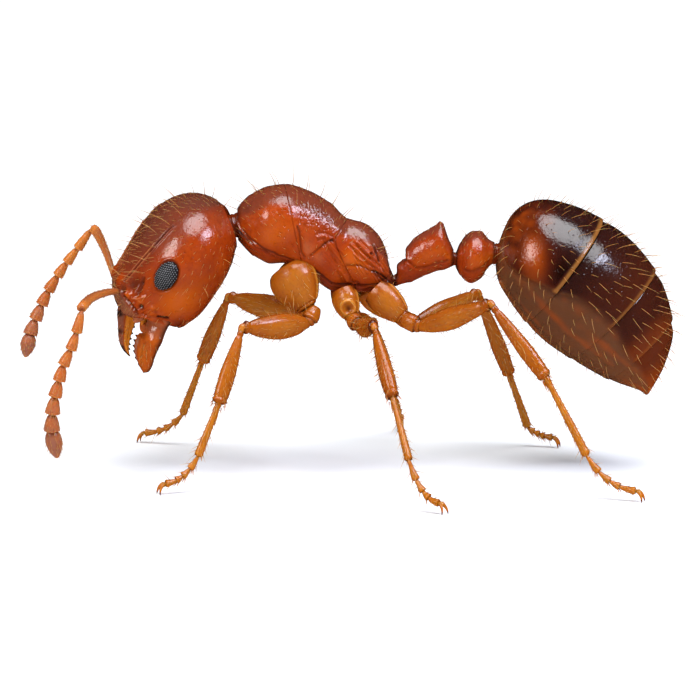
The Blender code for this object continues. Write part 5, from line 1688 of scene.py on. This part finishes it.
    # spines round the tibia's end, and the long comb-like spur of the fore leg
    down = unit(ankle - knee)
    forward = unit(heel - ankle)
    inner = unit(np.cross(down, np.cross(forward, down)) + np.array((0, 0, -0.3)))
    aside = unit(np.cross(down, inner))
    for j in range(7):
        angle = (j - 3) * 0.62
        way = inner * math.cos(angle) + aside * math.sin(angle)
        start = ankle - down * 0.022 + way * shin * 0.66
        spike(shell, start, down * 0.9 + way * 0.45, 0.06, 0.006, shade=0.1)
    length, thick = plan["spur"][kind]
    for way in (aside, -aside)[: 1 if kind == "fore" else 2]:
        start = ankle - down * 0.02 + inner * shin * 0.55 + way * 0.012
        spike(shell, start, down + inner * 0.45 + way * 0.1, length, thick, forward * 0.12, 0.35, 8)
    lightenFarSide(shell, name)
    cad = kind + ("_left" if hand > 0 else "_right")
    nodes = [cad + "_" + part for part in ("coxa", "trochanter", "femur", "tibia")]
    return settle(shell.build(name + "Leg"), "leg", *nodes), cad


def footLine(heel, claws):
    ahead = unit(np.array((claws[0] - heel[0], claws[1] - heel[1], 0.0)))
    toe = claws - ahead * legDetail["clawReach"] + np.array((0, 0, legDetail["toeHeight"]))
    bow = np.array((heel[0] * 0.6 + toe[0] * 0.4, heel[1] * 0.6 + toe[1] * 0.4, toe[2] + 0.012))
    start = heel + unit(bow - heel) * 0.004

    def line(t):
        t = np.asarray(t, float)[..., None]
        return start * (1 - t) ** 2 + bow * 2 * t * (1 - t) + toe * t ** 2
    return line, ahead


def buildTarsus(name, cad, joints):
    plan = legDetail
    ankle, heel, claws = (np.array(p, float) for p in joints[3:6])
    shell = Shell()
    radii = {0.0: 0.028, 0.05: 0.034, 0.12: 0.03, 0.5: 0.036, 0.88: 0.042, 0.96: 0.042, 1.0: 0.03}
    grid, normals, k, path = limbGrid(ankle, heel, radii, 90, 32, 0.88, 0.0, (-0.038, -0.004))
    grid = grid + normals * (0.003 * bump(k - 0.95, 0.02))[:, None, None]
    shade = -0.45 * ramp(0.1, 0.0, k) - 0.3 * bump(k - 0.99, 0.02)
    addLimb(shell, grid, path, limbMarks(normals, shade[:, None], heel - ankle,
                                                   1.0 * ramp(0.02, 0.08, k)[:, None]))
    line, ahead = footLine(heel, claws)
    down = unit(heel - ankle)
    under = unit(np.array((0, 0, -1.0)) - down * -down[2] + ahead * 0.15)
    aside = unit(np.cross(ahead, (0, 0, 1)))
    for place in (0.3, 0.52, 0.74, 0.94):          # paired spines under the long first joint
        for hand in (1, -1):
            base = ankle + (heel - ankle) * place + under * 0.03 + aside * hand * 0.012
            spike(shell, base, down * 0.85 + under * 0.5 + aside * hand * 0.25,
                  plan["spineLength"] * (0.8 + 0.3 * place), plan["spineThick"], shade=plan["spineShade"])
    reached = 0.0
    for i, share in enumerate(plan["tarsomeres"]):
        last = i == 3
        k = np.linspace(0, 1, 40)
        t = reached + share * (-0.1 + 1.09 * k)
        path = line(np.minimum(t, 1))
        size = keyed(plan["lastToe" if last else "toe"], k) * blunt(k, 0.06, 0.06, 0.003)
        grid, normals, _ = sweep(path, size, 24, 0.95, aside)
        shade = -0.4 * ramp(0.25, 0.0, k) + 0.15 * bump(k - 0.88, 0.1)
        addLimb(shell, grid, path, limbMarks(normals, shade[:, None], path[-1] - path[0],
                                                       0.9 * ramp(0.1, 0.3, k)[:, None]))
        if not last:
            way = unit(path[-1] - path[-3])
            low = unit(np.array((0, 0, -1.0)) + way * way[2])
            for hand in (1, -1):
                base = path[-4] + low * 0.026 + aside * hand * 0.016
                spike(shell, base, way * 0.75 + low * 0.6 + aside * hand * 0.35, plan["spineLength"],
                      plan["spineThick"], shade=plan["spineShade"])
        reached += share
    # two hooked claws with dark points, and the pale pad between them
    end = line(1.0)
    drop = end[2] - floorLevel - 0.0015
    spread = plan["clawSpread"] * plan["clawShare"].get(name, 1)
    for hand in (1, -1):
        angle = np.radians(np.array((0, 14, 28, 42, 56, 68, 78, 85, 90.0)))
        turn = angle / (np.pi / 2)
        path = (end + ahead * (plan["clawReach"] * np.sin(angle))[:, None]
                + aside * (hand * (spread * turn + 0.006))[:, None]
                - np.array((0, 0, 1.0)) * (drop * (1 - np.cos(angle)))[:, None])
        path = smoothPath(path, 26)
        k = np.linspace(0, 1, 26)
        size = np.interp(k, (0, 0.15, 0.5, 0.85, 1.0), (0.016, 0.0195, 0.0155, 0.008, 0.0022))
        grid, normals, _ = sweep(path, size, 14, 0.8, aside)
        shade = 0.1 - 1.2 * ramp(0.62, 0.92, k)[:, None]
        marks = limbMarks(normals, shade, path[-1] - path[0], 0.0)
        shell.add(grid, (path[0], path[-1] - np.array((0, 0, 0.0006))), marks)
    k = np.linspace(0, 1, 20)
    path = end + ahead * (0.045 * k)[:, None] - np.array((0, 0, 1.0)) * (0.02 * k ** 2)[:, None]
    grid, normals, _ = sweep(path, 0.019 * blunt(k, 0.4, 0.5, 0.004), 18, 1.0, aside)
    marks = limbMarks(normals, 0.95 + 0 * k[:, None], ahead, 0.0)
    addLimb(shell, grid, path, marks)
    for hand in (1, -1):                         # long bristles over the claws
        for lift in (0.9, 0.2, -0.5):
            way = ahead * 0.8 + aside * hand * 0.35 + np.array((0, 0, lift * 0.5))
            spike(shell, line(0.985) + aside * hand * 0.012, way, 0.06, 0.0036, (0, 0, -0.15),
                  plan["spineShade"], 5)
    lightenFarSide(shell, name)
    return settle(shell.build(name + "Foot"), "tarsus", cad + "_basitarsus", cad + "_foot")


legSkins, footSkins = {}, {}
for name, (coxa, hipRadius, joints) in legs.items():
    legSkins[name], cad = buildLeg(name, coxa, hipRadius, joints)
    footSkins[name] = buildTarsus(name, cad, joints)
print("legs built:", len(legSkins))


setae = {"weight": "longHair", "spacing": 0.17, "length": 0.22, "vary": 0.45, "thickness": 0.0046,
         "lean": 0.2, "stray": 0.16, "bend": 0.22, "seed": 3, "sides": 5, "steps": 6}
down = {"weight": "shortHair", "spacing": 0.03, "length": 0.07, "vary": 0.45, "thickness": 0.003,
        "lean": 0.72, "stray": 0.16, "bend": 0.1, "seed": 7, "sides": 3, "steps": 3}

headSetae = tinted(setae, spacing=0.14, length=0.24, lean=0.14, thickness=0.0034)
headBristles = tinted(setae, spacing=0.105, length=0.088, lean=0.62, thickness=0.002, stray=0.22)
trunkSetae = tinted(setae, spacing=0.15, length=0.3, lean=0.05, thickness=0.0038)
trunkDown = tinted(down, spacing=0.055, length=0.05)
waistSetae = tinted(setae, spacing=0.13, lean=0.05, thickness=0.0032)
waistDown = tinted(down, spacing=0.05, length=0.045)
gasterSetae = tinted(setae, spacing=0.092, length=0.24, lean=0.3, bend=0.24, stray=0.2, thickness=0.003)
legDown = tinted(down, spacing=0.042, length=0.06, lean=0.8, thickness=0.0023)
legSetae = tinted(setae, spacing=0.052, length=0.14, thickness=0.0034, lean=0.38, bend=0.1)
footSetae = tinted(legSetae, weight="shortHair", spacing=0.05, length=0.12, lean=0.45)
footDown = tinted(down, spacing=0.028, length=0.05, lean=0.7)

coats = {   # the skin and style of each coat, by slot
    "head": [
        ("headDown", headSkin, tinted(down, spacing=0.066, length=0.064, thickness=0.0021)),
        ("headBristles", headSkin, headBristles),
        ("headSetae", headSkin, tinted(headSetae, seed=4))],
    "trunk": [
        ("pronotumSetae", trunkSkins["pronotum"], tinted(trunkSetae, spacing=0.16)),
        ("mesothoraxSetae", trunkSkins["mesothorax"], tinted(trunkSetae, seed=5)),
        ("propodeumSetae", trunkSkins["propodeum"],
         tinted(trunkSetae, length=0.22, thickness=0.0034, seed=6)),
    ] + [(name + "Down", skin, trunkDown) for name, skin in trunkSkins.items()],
    "waist": [
        ("petioleSetae", waistSkins["petiole"], tinted(waistSetae, length=0.17, seed=8)),
        ("postpetioleSetae", waistSkins["postpetiole"], tinted(waistSetae, length=0.2, seed=9)),
    ] + [(name + "Down", skin, waistDown) for name, skin in waistSkins.items()],
    "gaster": [("gasterSetae%d" % (i + 1), skin, tinted(gasterSetae, seed=20 + i))
               for i, skin in enumerate(gasterSkins)],
    "antenna": [(skin.name + "Down", skin, tinted(down, spacing=0.026, length=0.045, seed=30 + i))
                for i, skin in enumerate(antennaSkins["left"] + antennaSkins["right"])],
    "leg": [(name + ending, skin, tinted(style, seed=seed + i))
            for ending, style, seed in (("LegDown", legDown, 40), ("LegSetae", legSetae, 50))
            for i, (name, skin) in enumerate(legSkins.items())],
    "tarsus": [(name + ending, skin, tinted(style, seed=seed + i))
               for ending, style, seed in (("FootSetae", footSetae, 80), ("FootDown", footDown, 60))
               for i, (name, skin) in enumerate(footSkins.items())],
    "mandible": [(skin.name + "Down", skin, tinted(down, spacing=0.045, length=0.07, lean=0.6, seed=70 + i))
                 for i, skin in enumerate(jawSkins)],
}
for slot, rows in coats.items():
    for name, skin, style in rows:
        growHair(name, skin, style, slot)
print("coats grown:", sum(map(len, coats.values())))


stage = {
    "floorHalf": 900, "floorColour": (0.93, 0.93, 0.93, 1),
    "sky": (0.86, 0.92, 1.0, 1), "skyStrength": 0.42,
    "overhead": {"tilt": 13, "towardsHead": -4, "softness": 46, "strength": 2.9, "colour": (0.94, 0.97, 1.0)},
    "lights": {   # place in millimetres, width, depth, strength in milliwatts, colour
        "rearBox": ((9.9, 13.2, 17.0), 9.0, 5.0, 2.5, (0.76, 0.8, 1.0)),
        "frontBox": ((11.4, -15.2, 11.4), 6.0, 9.0, 1.35, (1.0, 0.96, 0.93)),
    },
    "floorTint": (0.95, 0.95, 0.95, 1), "floorBlotch": 40.0, "floorRoughness": 0.9,
    # the camera's place in millimetres and degrees, and a view about 7 millimetres wide
    "aim": (0.0, 0.0, 1.17), "cameraDistance": 40.0, "cameraHeight": 9.0, "sensor": 36, "lens": 36 * 40 / 7,
}


def toFrame(point):
    return Vector(((np.asarray(point, float) - frameOrigin) * mm).tolist())


def buildStage():
    half = stage["floorHalf"] * mm
    mesh = bpy.data.meshes.new("floor")
    corners = [(-half, -half, 0), (half, -half, 0), (half, half, 0), (-half, half, 0)]
    mesh.from_pydata(corners, [], [(0, 1, 2, 3)])
    floor = addToScene(bpy.data.objects.new("floor", mesh))
    material, tree, shader = startFinish("paleFloor")
    place = objectPlace(tree)
    blotches = noise(tree, place, stage["floorBlotch"], 2.0)
    tint = blendColour(tree, blotches, stage["floorColour"], stage["floorTint"])
    tree.links.new(tint, shader.inputs["Base Color"])
    shader.inputs["Roughness"].default_value = stage["floorRoughness"]
    shader.inputs["Specular IOR Level"].default_value = 0.1
    mesh.materials.append(material)
    floor.visible_glossy = False       # the shine shows the lamps, not the pale floor
    world = bpy.data.worlds.new("studio")
    world.use_nodes = True
    world.node_tree.nodes["Background"].inputs["Color"].default_value = stage["sky"]
    world.node_tree.nodes["Background"].inputs["Strength"].default_value = stage["skyStrength"]
    world.cycles_visibility.glossy = False
    bpy.context.scene.world = world
    over = stage["overhead"]
    sun = bpy.data.lights.new("overhead", "SUN")
    sun.angle, sun.energy, sun.color = math.radians(over["softness"]), over["strength"], over["colour"]
    holder = addToScene(bpy.data.objects.new("overhead", sun))
    away = Vector((math.tan(math.radians(over["tilt"])), -math.tan(math.radians(over["towardsHead"])), 1))
    holder.rotation_euler = away.to_track_quat("Z", "Y").to_euler()
    for name, (place, width, depth, strength, colour) in stage["lights"].items():
        light = bpy.data.lights.new(name, "AREA")
        light.shape, light.size, light.size_y = "RECTANGLE", width * mm, depth * mm
        light.energy, light.color = strength * 0.001, colour      # from milliwatts
        holder = addToScene(bpy.data.objects.new(name, light))
        holder.location = toFrame(place)
        away = holder.location - toFrame(stage["aim"])
        holder.rotation_euler = away.to_track_quat("Z", "Y").to_euler()
    camera = bpy.data.cameras.new("camera")
    camera.lens, camera.sensor_width = stage["lens"], stage["sensor"]
    camera.clip_start, camera.clip_end = 0.001, 5
    holder = addToScene(bpy.data.objects.new("camera", camera))
    height = math.radians(stage["cameraHeight"])
    away = Vector((math.cos(height), 0, math.sin(height)))
    holder.location = toFrame(stage["aim"]) + away * stage["cameraDistance"] * mm
    holder.rotation_euler = away.to_track_quat("Z", "Y").to_euler()
    bpy.context.scene.camera = holder


buildStage()
bpy.context.scene.view_settings.view_transform = "Standard"
print("stage set")
